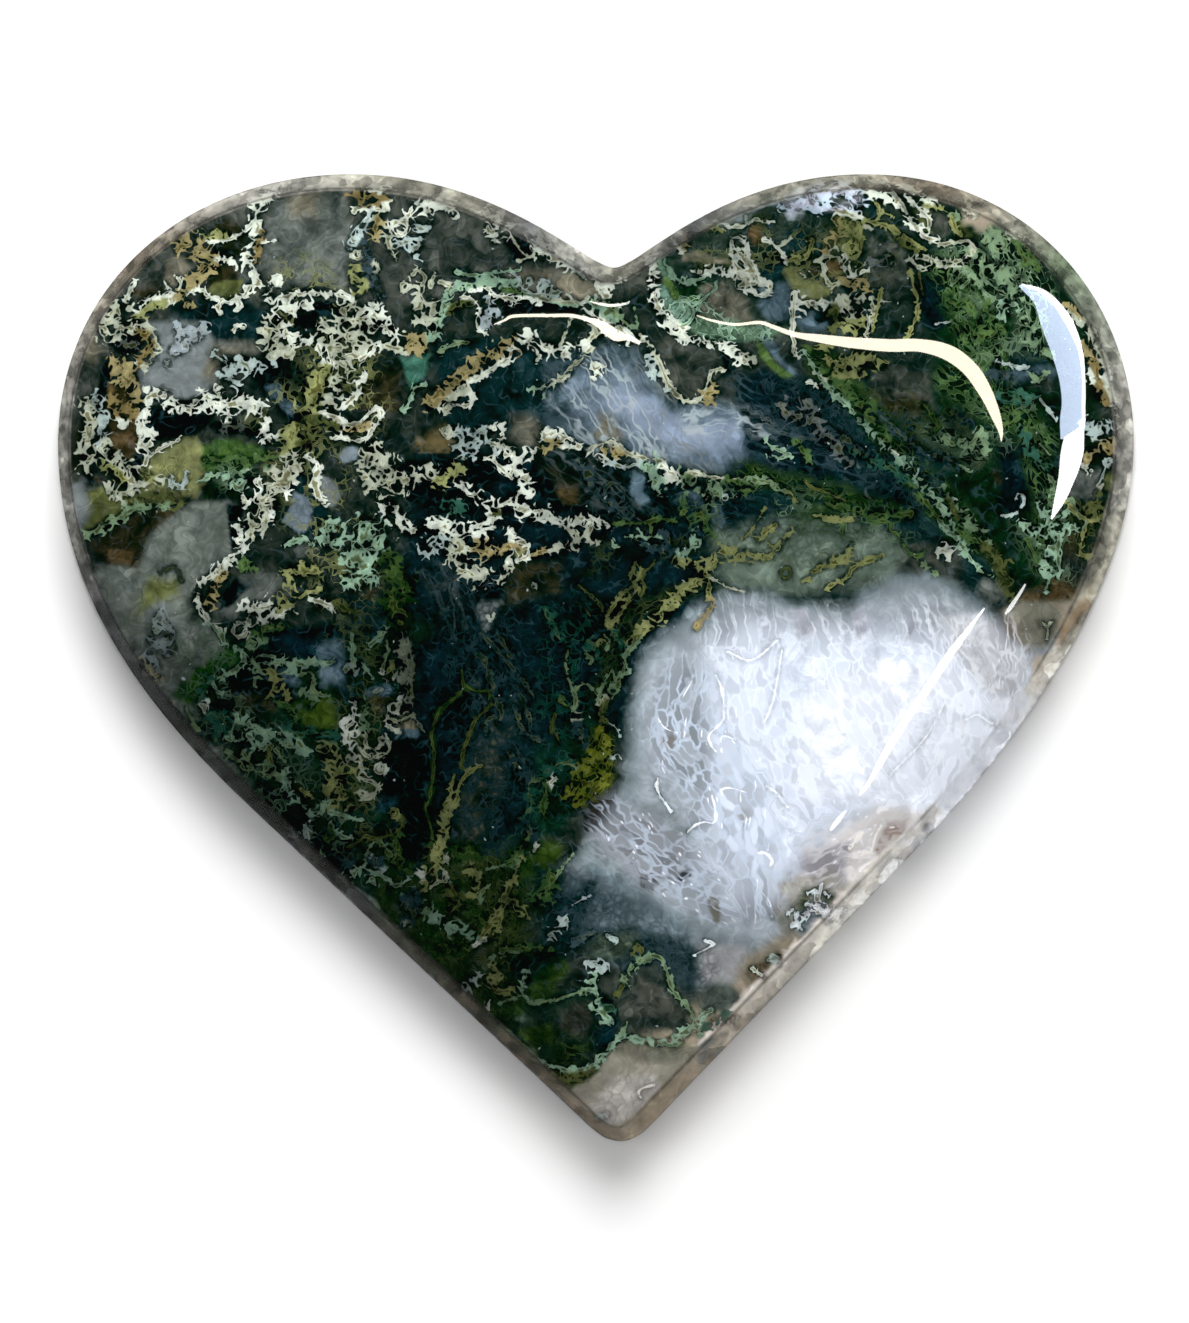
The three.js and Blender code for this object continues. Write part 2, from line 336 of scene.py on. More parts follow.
# %% Ground patches
PATCHES = {
    "wide grounds": """
#353330 20 60,160 560,160 620,260 430,310 250,300 60,420
#1d1f1b 25 600,240 740,170 1000,180 1060,300 960,380 840,360 700,300
#070e13 25 420,440 700,480 960,500 960,560 700,620 560,820 430,900 380,700
#141d1f 25 740,380 980,380 1060,520 1000,600 760,600
pine 22 940,230 1090,300 1110,520 1040,600 960,540 930,380
#0e150e 22 120,640 430,620 420,820 560,1060 420,1080 230,900
grey 25 40,560 130,600 300,880 500,1100 420,1110 60,700
beige 25 1060,600 1120,560 900,960 640,1210 520,1120 640,1040 860,900
""",
    "upper left lobe": """
grey 10 275,200 345,200 352,250 345,290 285,285 265,272 262,240
taupe 14 290,190 320,190 318,220 292,215
umber 6 215,215 250,225 240,262 232,292 205,282 215,262
taupe 3 165,262 185,255 190,270 178,285 163,288
umber 5 130,288 162,283 168,298 140,305
olive 3 200,292 215,282 245,278 240,300 222,300 208,298
slate 7 172,303 240,300 280,315 262,342 212,340 175,320
lilac 5 145,325 175,318 205,325 212,342 262,345 262,352 222,350 214,388 190,400 145,395 135,372 157,345
taupe 8 212,344 262,344 262,352 222,352 214,385 200,380
ink 3 142,408 165,400 205,404 215,415 200,432 175,440 143,442
ink 4 262,360 290,352 310,365 318,380 310,398 300,425 285,422 268,400 250,385 254,372
steel 2 265,388 280,385 285,400 300,405 295,418 270,400
ink 3 115,335 135,332 145,345 135,358 118,355 108,345
taupe 5 90,330 100,345 95,370 85,360
ink 3 100,370 110,360 112,380 105,400 100,420 95,400
""",
    "left cheek": """
ink 2 215,420 245,425 262,435 215,435 205,425
brown 3 108,380 125,385 140,400 138,450 132,462 118,455 105,420
umber 4 75,425 90,430 85,470 72,470
ink 3 138,455 145,465 140,480 132,472
ink 4 80,472 92,468 95,485 75,480
umber 3 90,475 110,478 130,488 120,492 100,482
#6a6744 5 143,470 150,455 165,445 180,438 195,438 205,445 208,460 200,475 205,485 195,495 175,500 150,502
143,492
olive 5 90,490 105,485 140,495 150,505 110,520 85,530
umber 3 90,540 115,525 140,515 180,503 170,518 150,530 145,550 140,568 125,572 98,555
brown 2 110,550 135,552 130,568 108,562
lilac 8 70,485 85,480 88,510 85,530 72,520
#5c5c58 8 150,535 180,508 225,500 240,510 245,540 232,560 200,575 190,600 185,640 120,640 100,590 95,562
140,570
olive 10 140,600 150,580 180,578 178,595 150,610 130,625
lilac 8 145,610 165,605 175,620 165,640 145,640
ink 3 225,505 243,505 244,540 232,555
#2b3a1a 4 205,445 220,440 245,442 268,450 270,458 245,475 210,480 200,470
pine 3 205,485 220,478 232,485 238,498 205,500
grey 5 215,610 235,585 248,570 290,575 290,600 250,605 235,620
ink 3 225,590 240,575 250,585 235,605 222,612
""",
    "upper middle left": """
ink 3 310,305 335,302 338,315 312,318
ink 3 290,318 315,315 318,328 295,332
teal 3 400,355 428,355 420,375 412,388 405,375
dusk 4 445,305 470,298 485,310 478,330 460,345 442,340
slate 12 430,345 540,330 560,420 450,440
umber 10 360,370 400,368 402,410 362,410
lilac 3 318,475 335,480 338,495 330,505 318,495
#6d757f 2 338,455 343,448 352,446 358,452 355,462 343,463
slate 4 300,470 315,470 320,500 330,510 318,530 300,535 280,520 285,490
#666d77 2 297,494 311,500 314,510 299,533 283,523
ink 4 400,462 430,455 450,458 480,450 500,480 495,505 470,520 440,515 420,510 405,500
#5f4f36 6 430,435 445,425 455,445 445,455 432,452 412,447
umber 3 355,590 365,582 378,590 378,600 362,602
slate 5 335,600 380,600 385,640 340,640
lilac 5 480,605 500,600 495,615 480,635
grey 3 293,550 305,542 318,548 312,558 298,560
""",
    "cleft": """
ink 4 505,240 530,238 538,258 520,266 506,262
taupe 6 505,270 570,268 600,285 600,300 545,298 505,282
ink 3 505,300 545,301 582,306 582,314 505,314
smoke 8 600,262 660,258 650,290 600,300
dusk 6 600,285 640,285 650,310 660,340 640,330 610,310
ink 3 646,276 656,274 658,295 664,312 650,306 645,290
taupe 3 684,255 700,252 715,255 732,262 705,262 684,262
lilac 8 715,205 750,190 752,222 720,226
#60796a 4 655,285 665,290 672,300 690,310 690,325 676,322 665,312 657,300
moss 3 662,275 675,285 690,292 700,300 690,305 672,298 662,285
pine 3 676,285 690,285 704,280 714,275 712,285 700,297 690,298 680,293
#4e6050 8 655,258 665,258 675,276 668,278 657,270
#453f38 5 700,290 725,285 740,295 748,318 725,326 702,320 696,305
#4c5c4a 5 686,330 700,318 760,325 790,328 760,342 720,340
smoke 4 665,335 690,343 712,350 728,362 712,380 700,395 690,403 678,395 665,375 658,350
ink 4 712,350 730,352 732,375 716,380 722,365
""",
    "upper quartz veil": """
steel 14 545,360 600,345 640,350 665,400 730,405 780,420 770,455 720,472 650,462 600,450 545,430
#545b6a 12 570,380 610,365 640,375 665,410 735,412 760,425 750,450 710,465 650,450 600,435 570,415
#717a8d 10 600,400 628,385 655,400 690,425 740,418 755,435 730,455 680,450 640,430
taupe 6 600,410 612,415 628,440 610,448 592,440
#3f3a33 10 510,415 535,418 548,432 540,448 512,440
""",
    "under the upper veil": """
ink 6 535,465 560,448 600,470 650,480 680,520 610,520 560,512 535,495
umber 9 540,465 560,465 580,490 585,505 565,500
brown 6 560,480 578,488 576,505 566,500
steel 3 635,470 645,480 640,490 650,500 640,505 632,490
steel 3 682,490 700,490 705,510 690,520 680,505
steel 3 712,505 720,500 725,520 716,535 708,530
straw 3 512,545 527,543 528,557 515,560
umber 14 505,560 560,562 560,590 505,610
""",
    "upper right lobe": """
pearl 4 745,213 757,203 775,200 783,195 800,188 820,187 832,183 845,182 853,190 862,195 862,203 848,211
825,212 808,205 800,215 795,222 788,213 780,203
grey 2 817,203 823,198 832,197 840,194 852,198 850,204 838,204 828,208
brown 4 750,228 758,224 764,232 764,243 752,248 748,238
slate 5 755,250 785,250 788,262 785,285 760,275 754,262
slate 5 785,235 805,228 808,245 800,255 787,248
steel 6 762,285 790,283 796,318 770,322 758,305
#62603f 4 787,262 795,270 805,275 815,280 830,283 831,290 825,297 812,302 802,298 797,290 790,280 786,272
umber 3 800,265 812,257 820,262 825,275 812,274
brown 3 825,260 838,258 842,268 836,280 828,275
steel 4 796,312 815,308 828,315 825,330 805,332 796,325
ink 3 810,310 828,306 829,322 815,326
olive 5 838,215 858,220 862,245 850,260 838,245 835,228
smoke 12 870,240 905,240 910,290 885,300 865,280
slate 4 868,202 882,200 886,215 875,222 867,214
smoke 5 932,212 948,212 950,235 935,236
olive 3 912,205 930,210 932,232 920,228
slate 5 930,246 972,246 972,256 932,256
navy 5 920,265 946,265 946,328 922,330
olive 5 948,215 965,222 975,235 958,238
beige 5 960,205 985,208 1000,222 985,235 965,220
""",
    "ribbons right of the cleft": """
steel 3 763,330 772,342 780,355 800,378 792,378 774,355 763,342
moss 3 755,340 765,345 775,362 795,378 780,376 762,358
navy 6 735,378 765,368 800,385 820,420 860,450 860,490 800,480 745,460
pine 5 745,465 790,472 850,490 850,505 790,492 745,480
moss 5 800,345 825,352 880,400 900,440 880,440 840,400 812,375
""",
    "right middle": """
smoke 8 870,370 930,372 935,412 880,415
umber 8 870,392 925,398 920,412 872,410
navy 5 948,408 975,412 975,436 950,434
navy 6 860,475 905,478 935,510 880,510
slate 5 900,518 950,520 962,545 950,560 905,548
moss 8 800,508 850,505 850,535 805,530
smoke 10 780,540 960,545 960,590 780,590
grey 10 740,560 800,565 790,590 740,586
""",
    "right cheek": """
slate 4 1003,340 1040,335 1045,365 1008,368
steel 5 985,368 1050,366 1055,380 990,382
dusk 4 985,380 1020,382 1018,392 988,392
dusk 4 1030,376 1055,378 1054,392 1032,391
navy 8 1000,430 1055,430 1055,500 1000,520
umber 5 992,462 1003,468 1005,482 996,484
olive 5 980,540 995,548 1008,570 1014,595 1004,590 992,562
grey 6 985,575 1012,590 1000,605 975,590
umber 5 1060,530 1082,532 1080,560 1062,560
smoke 8 1065,555 1092,552 1090,580 1062,580
brown 8 1020,598 1050,580 1080,578 1075,600 1030,606
grey 6 1070,470 1100,468 1098,498 1072,500
olive 4 1104,472 1116,474 1114,490 1103,488
smoke 4 1085,340 1098,345 1100,362 1088,360
""",
    "left flank": """
grey 8 140,620 215,620 228,645 205,665 180,680 160,675 150,655
#1d3008 4 175,690 190,672 210,660 225,645 240,645 245,660 232,670 215,680 200,695 190,706 178,700
ink 4 215,690 232,675 250,664 262,640 268,660 290,680 300,700 270,705 225,712 210,705
umber 8 235,692 262,690 275,708 240,708
navy 4 265,625 340,625 340,658 300,660 268,655
steel 5 320,640 345,640 345,690 322,680
steel 4 280,672 296,672 300,684 282,684
pine 3 198,722 215,720 218,735 208,742 199,736
#2c3410 8 290,705 330,690 340,730 310,728
ink 8 250,780 300,800 340,860 300,850 262,800
""",
    "dark middle": """
navy 10 415,640 465,640 500,700 480,740 440,790 400,800 390,740 412,735
ink 10 380,735 430,740 435,860 400,850 385,800
ink 12 560,600 640,600 610,690 600,760 545,740
steel 3 367,692 375,684 390,683 394,690 388,698 372,699
umber 3 370,697 396,697 395,715 372,715
#4e463a 4 390,715 412,714 420,725 418,735 392,733
steel 3 380,728 420,732 418,739 385,738
pine 4 345,778 368,780 372,792 350,800
#1d2c34 5 375,797 395,795 398,805 378,812
#2c2a26 14 495,700 520,700 505,790 480,850 452,850 460,790
umber 8 478,790 492,785 490,810 475,812
#1e250b 8 460,845 560,840 560,880 455,880
navy 12 540,640 600,640 590,760 545,740
#0d1a12 12 530,760 590,700 600,760 560,830 520,850
#5a6158 24 715,535 760,520 850,515 905,540 890,580 800,590 720,592
""",
    "quartz pocket": """
#747a81 18 560,870 600,830 625,780 630,700 645,650 700,608 730,592 770,596 800,606 845,606 870,592 890,578
930,575 965,594 1005,624 1060,640 1050,740 980,870 900,930 770,960 700,990 640,930
#8d959d 20 645,665 705,625 735,606 780,610 850,618 880,600 930,592 965,610 1010,638 1060,655 1060,740
960,870 850,900 760,940 700,920 640,880 640,760
#b9c1ce 28 705,655 745,625 900,630 1000,640 1030,670 1080,710 970,855 850,870 770,900 725,900 702,860
712,760 700,690
#c9d2e1 22 722,675 750,650 930,648 1000,675 1075,715 970,845 880,830 820,840 760,880 725,840 715,760
#dbe1ed 24 790,705 870,665 945,662 1000,690 1070,715 975,840 880,805 800,800
#b4b7bd 12 940,615 985,618 1030,665 1015,700 985,690 955,650
#6f685e 8 1000,612 1040,598 1064,612 1045,650 1025,652 1005,634
#8b8f98 3 905,618 912,612 916,628 908,636
#8b8f98 3 928,602 938,600 939,622 931,630
#9599a3 3 848,612 866,606 870,630 858,640
#9599a3 3 790,612 806,610 812,632 796,634
#7c7a78 2 662,738 672,732 678,740 674,748 664,745
#9d9c9e 4 734,812 744,812 752,826 748,830 738,822
#7b8086 4 600,830 650,800 690,830 690,880 640,880 600,870
#2e3032 2 680,870 692,866 692,880 682,884 678,878
#4c4f52 2 640,878 658,876 662,886 650,894 642,890
#65655e 2 710,895 720,895 718,920 712,920 708,905
#77736f 6 780,895 800,895 795,930 780,935 770,915
#5c636b 12 560,880 600,860 640,890 690,930 700,990 660,960 600,945 565,930
#8d8d90 10 700,945 745,945 740,985 705,985 695,965
""",
    "lower right rim": """
#e2dedd 12 830,835 880,805 935,812 910,850 850,900 830,870
#9b99a0 10 800,850 850,840 845,900 800,900
#a08f86 5 875,850 890,825 910,815 900,860 885,862
#93908a 10 780,885 830,865 850,890 800,905 785,900
#47453a 5 803,892 820,880 835,892 848,905 838,906 828,902 817,890 808,906 800,916 794,905
#85796a 12 745,955 790,930 830,945 800,985 760,1000 735,980
#5b4b3c 6 748,965 766,960 772,975 762,985 750,980
#6a5a48 5 765,955 785,950 790,962 775,970
#9a8d7d 2 725,997 742,978 752,992 770,990 742,1002
#6a6a68 2 742,1003 760,998 772,1003 755,1015 740,1018
#4b4c48 8 690,985 730,985 745,1000 735,1012 700,1010
#d6cfc6 4 955,815 932,806 850,885 770,968 700,1040 690,1080 800,985
#b8ad9d 4 1078,655 1062,650 1022,692 1045,705
#d6d0c4 3 930,822 922,815 860,880 862,892 900,855
#b8ad9d 4 1090,600 1070,655 1035,690 1050,670 1065,640
#a07f5a 6 1060,625 1075,608 1092,590 1090,620 1070,665 1056,655
#b5aa9a 5 1035,660 1060,650 1050,690 1030,697
""",
    "lower left moss": """
#4a4845 3 296,838 345,885 352,902 338,902 285,842
#45484a 3 340,880 375,900 385,918 350,908
#56604f 3 372,898 400,930 430,960 470,992 458,1005 420,965 380,925
#4c5444 3 465,985 530,1050 545,1075 500,1040 455,1002
#171f09 10 370,870 460,840 530,860 520,960 480,990 420,960 385,910
ink 4 385,835 430,835 430,858 402,862 396,845
ink 5 310,850 345,840 365,870 350,880 330,870
#3a3d33 6 395,900 425,880 430,915 405,930
#5f676b 3 403,905 412,896 420,895 414,912 406,920
#5d574c 4 470,962 480,948 495,945 492,960 480,972 472,975
#2a3a12 6 420,925 470,930 480,945 440,965 425,945
#030e0e 5 500,957 555,952 562,965 540,982 505,985 495,970
#222c10 5 520,990 560,960 572,968 545,1002 520,1008
#2b3a1c 4 480,1000 530,985 535,1020 500,1015
#475048 3 512,1018 545,1010 548,1020 530,1028
""",
    "lower middle": """
#101a1c 10 540,900 600,880 570,960 540,940
#2b3236 10 560,930 640,925 700,950 690,1000 600,960
#3c4036 6 590,935 640,930 640,950 610,962 585,955
#33332f 6 600,985 660,960 690,1000 690,1030 620,1035
#403d38 2 640,975 665,985 682,1015 660,1018 632,1020 626,1000
#2b2c29 2 640,975 650,972 666,985 675,1005 660,990
#1b211a 6 525,1005 580,985 600,1010 600,1050 560,1060 520,1030
#3a352e 5 562,1012 590,1003 592,1030 572,1036 556,1026
#0d1c22 4 598,1030 622,1018 612,1045 594,1050
#2f3a14 5 520,1030 550,1022 560,1040 530,1046
#20281a 5 545,1050 600,1040 590,1062 550,1064
""",
    "tip": """
#8b857a 7 540,1075 600,1066 625,1046 700,1048 735,1040 690,1085 620,1150 590,1140
#6b655a 5 612,1056 628,1044 700,1046 690,1062 625,1060
#a3a09b 9 612,1080 650,1072 662,1092 640,1110 610,1130 590,1112
#8a7d6c 5 660,1085 700,1060 690,1085 640,1135 620,1143
#ab9f8c 3 560,1092 600,1122 640,1135 618,1150 590,1140
#5b6268 4 698,1045 730,1028 722,1052 700,1070
#47481c 4 545,1068 580,1074 602,1068 572,1090 556,1086
""",
}

# %% [markdown]
# Then the lace, the cream and green threads and crusts: a colour, how full of
# holes it is, and the course as x,y,half width, mark after mark. A ring is a
# small round loop: its middle, its radius and its half width. The gaps are
# round openings in the lace.

# %% Lace strokes
LACE = {
    "upper left lobe": """
tan .35 182,243,8 195,248,10 207,255,8 212,262,6 205,268
cream 214,260,4 222,259,2 232,261,1.5
tan .1 204,268,5 186,288,6 176,298,4
cream 256,220,1.2 235,237,1.5 208,243,2
straw .1 205,236,4 225,236
cream .2 272,187,6 256,212,4 258,222,3
cream 260,224,2 252,240,2.5 248,255,3 250,265,3.5 260,283,2.5 268,284 275,280,3 273,288
268,295,3 272,303 282,306,3.5 288,300,3
amber 262,232,3 257,250 256,262,2
cream 262,243,.8 278,240
cream 245,265,3 240,268,2
cream 258,284,2 250,287,3 244,296,2 238,298 240,305,2.5 237,308,1.5
cream 236,297,1.5 230,302,2 222,300 218,308,3 219,312
cream 222,300,1.5 206,296,2 203,290 185,294 170,304
cream 166,284,2 170,302,2.5
cream 177,277,2.5 181,284,1.5 173,302,2
cream .1 170,292,4 160,298,3 150,298,2 138,311,3
straw .2 165,300,4 150,306 138,314,3
tan 188,306,4
bone .15 125,308,5 112,318,7 105,328,6 112,332 132,327,5 140,328,4
amber .1 140,330,5 150,338 153,348 148,357 140,363
bone 143,326,2 152,332 156,345,2.5 152,358,3 142,365 134,362,2
grey 125,345,3 135,345
tan .2 128,362,6 120,368,8 130,378,7 128,390,6
tan 115,372,4 122,384 140,400,5
cream 135,283,2 124,302
pearl .4 178,328,3 185,345,4 178,352,3 172,350
pearl .4 182,330,2 195,330,3 205,327,2.5 200,335,3 190,342
frost 167,364,3
cream 233,330,2 238,326,1.5 243,328
bone .3 272,328,8 272,345,11 280,350,8
amber 289,340,4
frost .35 216,353,3 222,360,4 225,370 240,362 250,368,6 255,365,5 262,368,3 275,365,2
frost 228,378,4 235,385,3
""",
    "left cheek": """
cream .1 150,395,3 145,405 141,435 142,445,2.5 150,452,3
cream .3 150,395,4 165,395 172,402,3 185,408,4 212,396,6 220,393,5
cream 165,398,1.5 190,412
cream .2 205,402,6 225,405 240,402 258,410,4
white 226,405,2 229,420,4
cream .5 258,410,3 265,422 262,435 270,440,4 280,438,3
grey 225,428,4 240,427,3
cream .3 146,432,3 153,436,2.5 148,446,3
amber .1 118,405,8 133,412,6
cream 123,425,4
frost .6 95,400,5 103,425 98,435 102,447,4
bone .2 88,405,7 92,420 88,440,6 90,455 88,468,4
bone .2 100,440,4 106,452,5 125,470,6 130,478 140,482,5
straw .2 105,465,5 118,470 125,480
cream 145,465,2 150,455 180,439,1.5
frost 171,478,1.5 172,484,3 180,487 186,480,2 187,474,1.5
bone 161,480,3
straw .2 147,477,5
olive .1 145,498,5 182,500,4
sage 80,538,3 95,532 108,522,4 120,518,3 135,508 150,508,2 175,500,1.5
bone .1 108,488,3 118,495,4 145,484,3
smoke 160,572,2 175,568 182,580
frost 155,620,2 160,612 163,622 155,632
leaf .1 205,460,3 250,462 275,456,2.5
mint 200,480,2 215,475 228,478 238,488,3 245,482
bone .2 292,462,10 268,500,9 258,520,8 252,535,4
brown 288,472,3 275,488,2.5
white 257,480,2.5 262,488
white 287,488,4 283,496,3
white .2 268,512,5
cream 243,497,3 247,508 252,500,2
cream 238,525,2 242,535 238,540,3 243,545,4 238,555 232,560,3
leaf 243,560,5 247,568,4
cream .1 232,560,3 222,568,4 203,582,2.5 198,592,3 198,602 203,612,2.5 210,622 222,630,2
tan .1 222,575,5 207,605,3
brown 210,594,3
cream .3 245,610,4 260,607,5 285,610,4
cream ring 240,630,7,2
cream .5 250,622,4 288,612
leaf .3 255,632,4 285,625
""",
    "upper middle left": """
amber .3 362,200,8 378,200,7
cream 354,212,2 368,192 374,210
cream 354,208,2 385,210
cream 378,192,2 387,210
cream 378,192,2 388,187
frost 373,212,3 352,242,4 350,247,3
tan 378,218,4 374,232
steel .1 362,245,4 378,295
straw .4 355,268,4 355,280 365,285,3 358,295
bone ring 357,255,4,1.5
bone ring 375,268,4,1.5
cream ring 400,228,7,2
cream 405,220,3 412,208 427,200
cream 425,213,2 440,200,3 450,195,4 455,200,3
cream 440,208,3 450,208 455,216,1.5
frost 395,240,3 402,245 408,238
frost 415,225,3 425,230 430,222,2
frost 420,238,3 418,245 413,250 417,257,2
bone 390,232,3 388,242 395,257,2
cream .1 488,212,4 495,220,5 490,230,4 497,240,3 505,235 512,225,2
cream .1 280,298,3 296,294,2.5 333,294,2 345,297,3 352,302
cream .2 283,302,5 290,310,4 308,303,3
bone .45 350,315,14 355,335,16 345,350,14 335,345,8 325,335
cream .3 372,310,7 395,340,2
bone .4 345,360,8 330,402,7
cream 360,360,3 378,345,2
cream 362,375,2 360,390,3 345,405
cream 318,345,2 328,375
cream 327,345,2 333,365
straw .2 325,370,7 312,400,8 315,410,6
cream .2 282,325,5 290,340,7 300,340,4 312,340,3
amber 290,338,4
bone ring 288,352,5,2
bone 385,345,2 402,350,3
mint 413,388,2 425,385
mint 413,393,2 408,405 402,410
tan .1 410,345,5 418,340 422,350,4
mint .1 432,340,3 448,298,4 458,290 490,282,5 510,284
mint 455,272,1.5 475,275 520,270
white 470,290,2 485,288 500,297,3 520,298
bone .35 420,290,4 425,300,5 418,310 425,320 432,315 435,305
bone 412,275,2 418,270 425,278 420,288
bone 430,285,3 435,275,2
bone 440,282,3 452,287,1.5
bone ring 405,287,4,1.5
sage 440,352,2 452,345 470,342,1.5
olive .1 448,312,3 460,303 472,303
cream 460,297,1.5 470,298 478,305 480,312 476,320 480,330 488,335
pearl .3 487,300,5 488,315,6 485,325,4
tan .1 432,400,7 450,385,5 485,360 515,343,4
cream 470,382,2 510,358
bone .1 445,408,4 465,385,3
cream 440,410,2 450,405 468,405 474,395
cream 315,400,2 316,410 335,418,3 345,425 360,422,2 370,412 380,410 381,416 372,430
362,440,2 350,440 340,437,1.5 330,440
tan .5 350,430,5 365,425
olive .1 300,425,4 315,420,6 340,425,3
olive .1 300,445,4 310,435,5
straw .3 285,440,7 295,430,6 285,450,4
cream 290,460,2 305,457 315,463 318,470,3 315,480 318,495 325,505,2
bone .35 370,450,7 375,462,9 385,470 390,480,8 400,482,5 440,472,2
bone .3 365,480,5 378,495,3
straw .1 440,480,5 458,470
cream .5 460,480,3 465,488,4 487,503,3 492,510
bone ring 447,432,5,1.5
frost .5 455,430,4 465,440,5 475,440 480,430,2 495,450
frost .2 455,447,3 470,450 475,457,2
cream .1 495,430,3 502,428 500,440 495,445
cream .35 500,445,4 510,455,6 515,465,5 512,475,3
cream 485,458,2 495,462 512,478
olive 495,512,4
cream 500,505,3 515,500 520,495
teal .6 445,505,5 460,508,4
cream .4 435,525,4 445,528,5 455,527,4 465,533 475,530,5 495,520,4
frost .3 440,540,6 425,552,3
bone .4 460,545,8 455,555,7 465,568 475,575,5 487,575,3
tan .5 478,545,5 490,552 505,550 515,545
bone 510,565,3 502,580,2
mint .3 330,525,5 325,540 335,545,4
mint .4 365,530,10 370,545,14 360,560,12 365,575,10
mint .2 350,582,5
cream .1 385,505,4 395,510,5 405,530,3 415,532,2
moss .45 385,560,8 395,575,10 400,590 395,605 400,620,8
white 485,615,1 492,620,1.5 494,610,1
mint 285,545,2 300,540 312,545
straw .2 290,575,6 300,570,5 315,570,4
straw .2 285,600,8 280,610,7
straw 300,598,1.5 310,592 320,590
cream 310,598,1 320,602,2.5 330,606,1.5 335,612,1
olive 335,602,3 345,608 355,617,1.5
""",
    "cleft": """
bone 513,238,1 520,250 528,257
bone 518,261,1 530,257 537,252
cream .4 534,230,3 537,245,4 545,255,6 565,262,4 568,268,3
bone .2 545,235,8 560,248 572,255,6
frost 571,265,1.5 577,262 584,264 586,272
frost 575,268,2 584,277
frost ring 529,281,3,1.2
frost ring 545,287,7,1
frost 545,287,3
frost 510,272,1.5 518,278 522,288,2 530,294,2.5 540,296,3 560,292,2
leaf .1 505,288,4 535,297,2
white .1 512,302,3 528,297 536,300,2.5 545,300,1.5
mint 552,303,1 578,307
bone 540,299,2 575,303,1.5 590,298
cream 570,297,1.5 584,306,2 590,313 612,328,5 622,336 628,341,2
mint .1 590,300,3 610,316,5 618,322,4
sage .1 606,302,3 614,312,4 618,320,3
white 598,303,1 618,305,1.5 628,303,1
cream 592,278,1.2 607,272,1.5 621,281 625,280,1
cream .1 595,282,1.2 605,296,2 610,296,1.5
cream 603,279,1.5 604,287 608,294,1.2
cream 608,280,1.2 612,287 611,291,1
cream .1 618,324,2 625,333,2.5 640,342 643,338,2
sage 622,320,1 630,326,1.2 638,326,1 634,308,.8
bone 640,335,1.5 658,360,1.8 668,384,2.5 676,394,3 685,401,1.5 694,401
702,397,1.5 712,373 724,368,1
frost .1 645,352,2 649,358,2.5 648,364,1.5
frost 665,392,2 677,388,1
frost .2 650,365,3.5 657,375
tan .1 705,395,4 712,388,5 708,400,4
cream .1 508,350,5 531,340
amber 511,352,3 518,348
cream .5 540,345,3 560,354,5 580,350 588,345,4
cream 533,350,2 539,355 536,362,1.5
bone 560,345,1.2 572,318,1
bone 590,340,2 595,330 583,315,1.5
bone 595,335,2 602,332,1.5 606,326
bone .1 594,345,1.5 563,376,4 555,383,3 548,387,2 540,385
mint .2 535,388,3 543,392,4
cream .1 592,365,2 597,372,3 594,377,2
cream 597,370,2 600,366,1.5 606,367,1
cream .15 645,258,2 652,263,3 655,272 654,285 656,300,4 661,312 668,320 684,328
cream .3 672,332,2 680,336,2.5 710,343,3 718,341 735,350 742,358,4
748,365,3
mint .1 662,260,1.5 668,270,2 677,279 686,283 704,278
cream .3 695,272,2 712,272,3 718,269 748,280,4
cream .3 725,270,3 745,274
mint 683,300,1.5 690,305 694,312 691,320 685,325,2 678,322,1
mint 686,310,1 680,318,1.5
mint 696,305,1.5 713,290,1.2 716,280,1
tan .2 683,232,4 685,240 681,250,2
cream 672,238,1.5 681,252
straw .2 705,228,3 713,226 720,230,2
cream 716,219,1 723,225,1.3 735,227 748,225,1
cream .1 732,238,2 740,238 746,246 743,256 736,250 731,240
cream 731,245,2 733,258 738,268 748,272
bone 745,258,2 755,275 757,283,1.5
""",
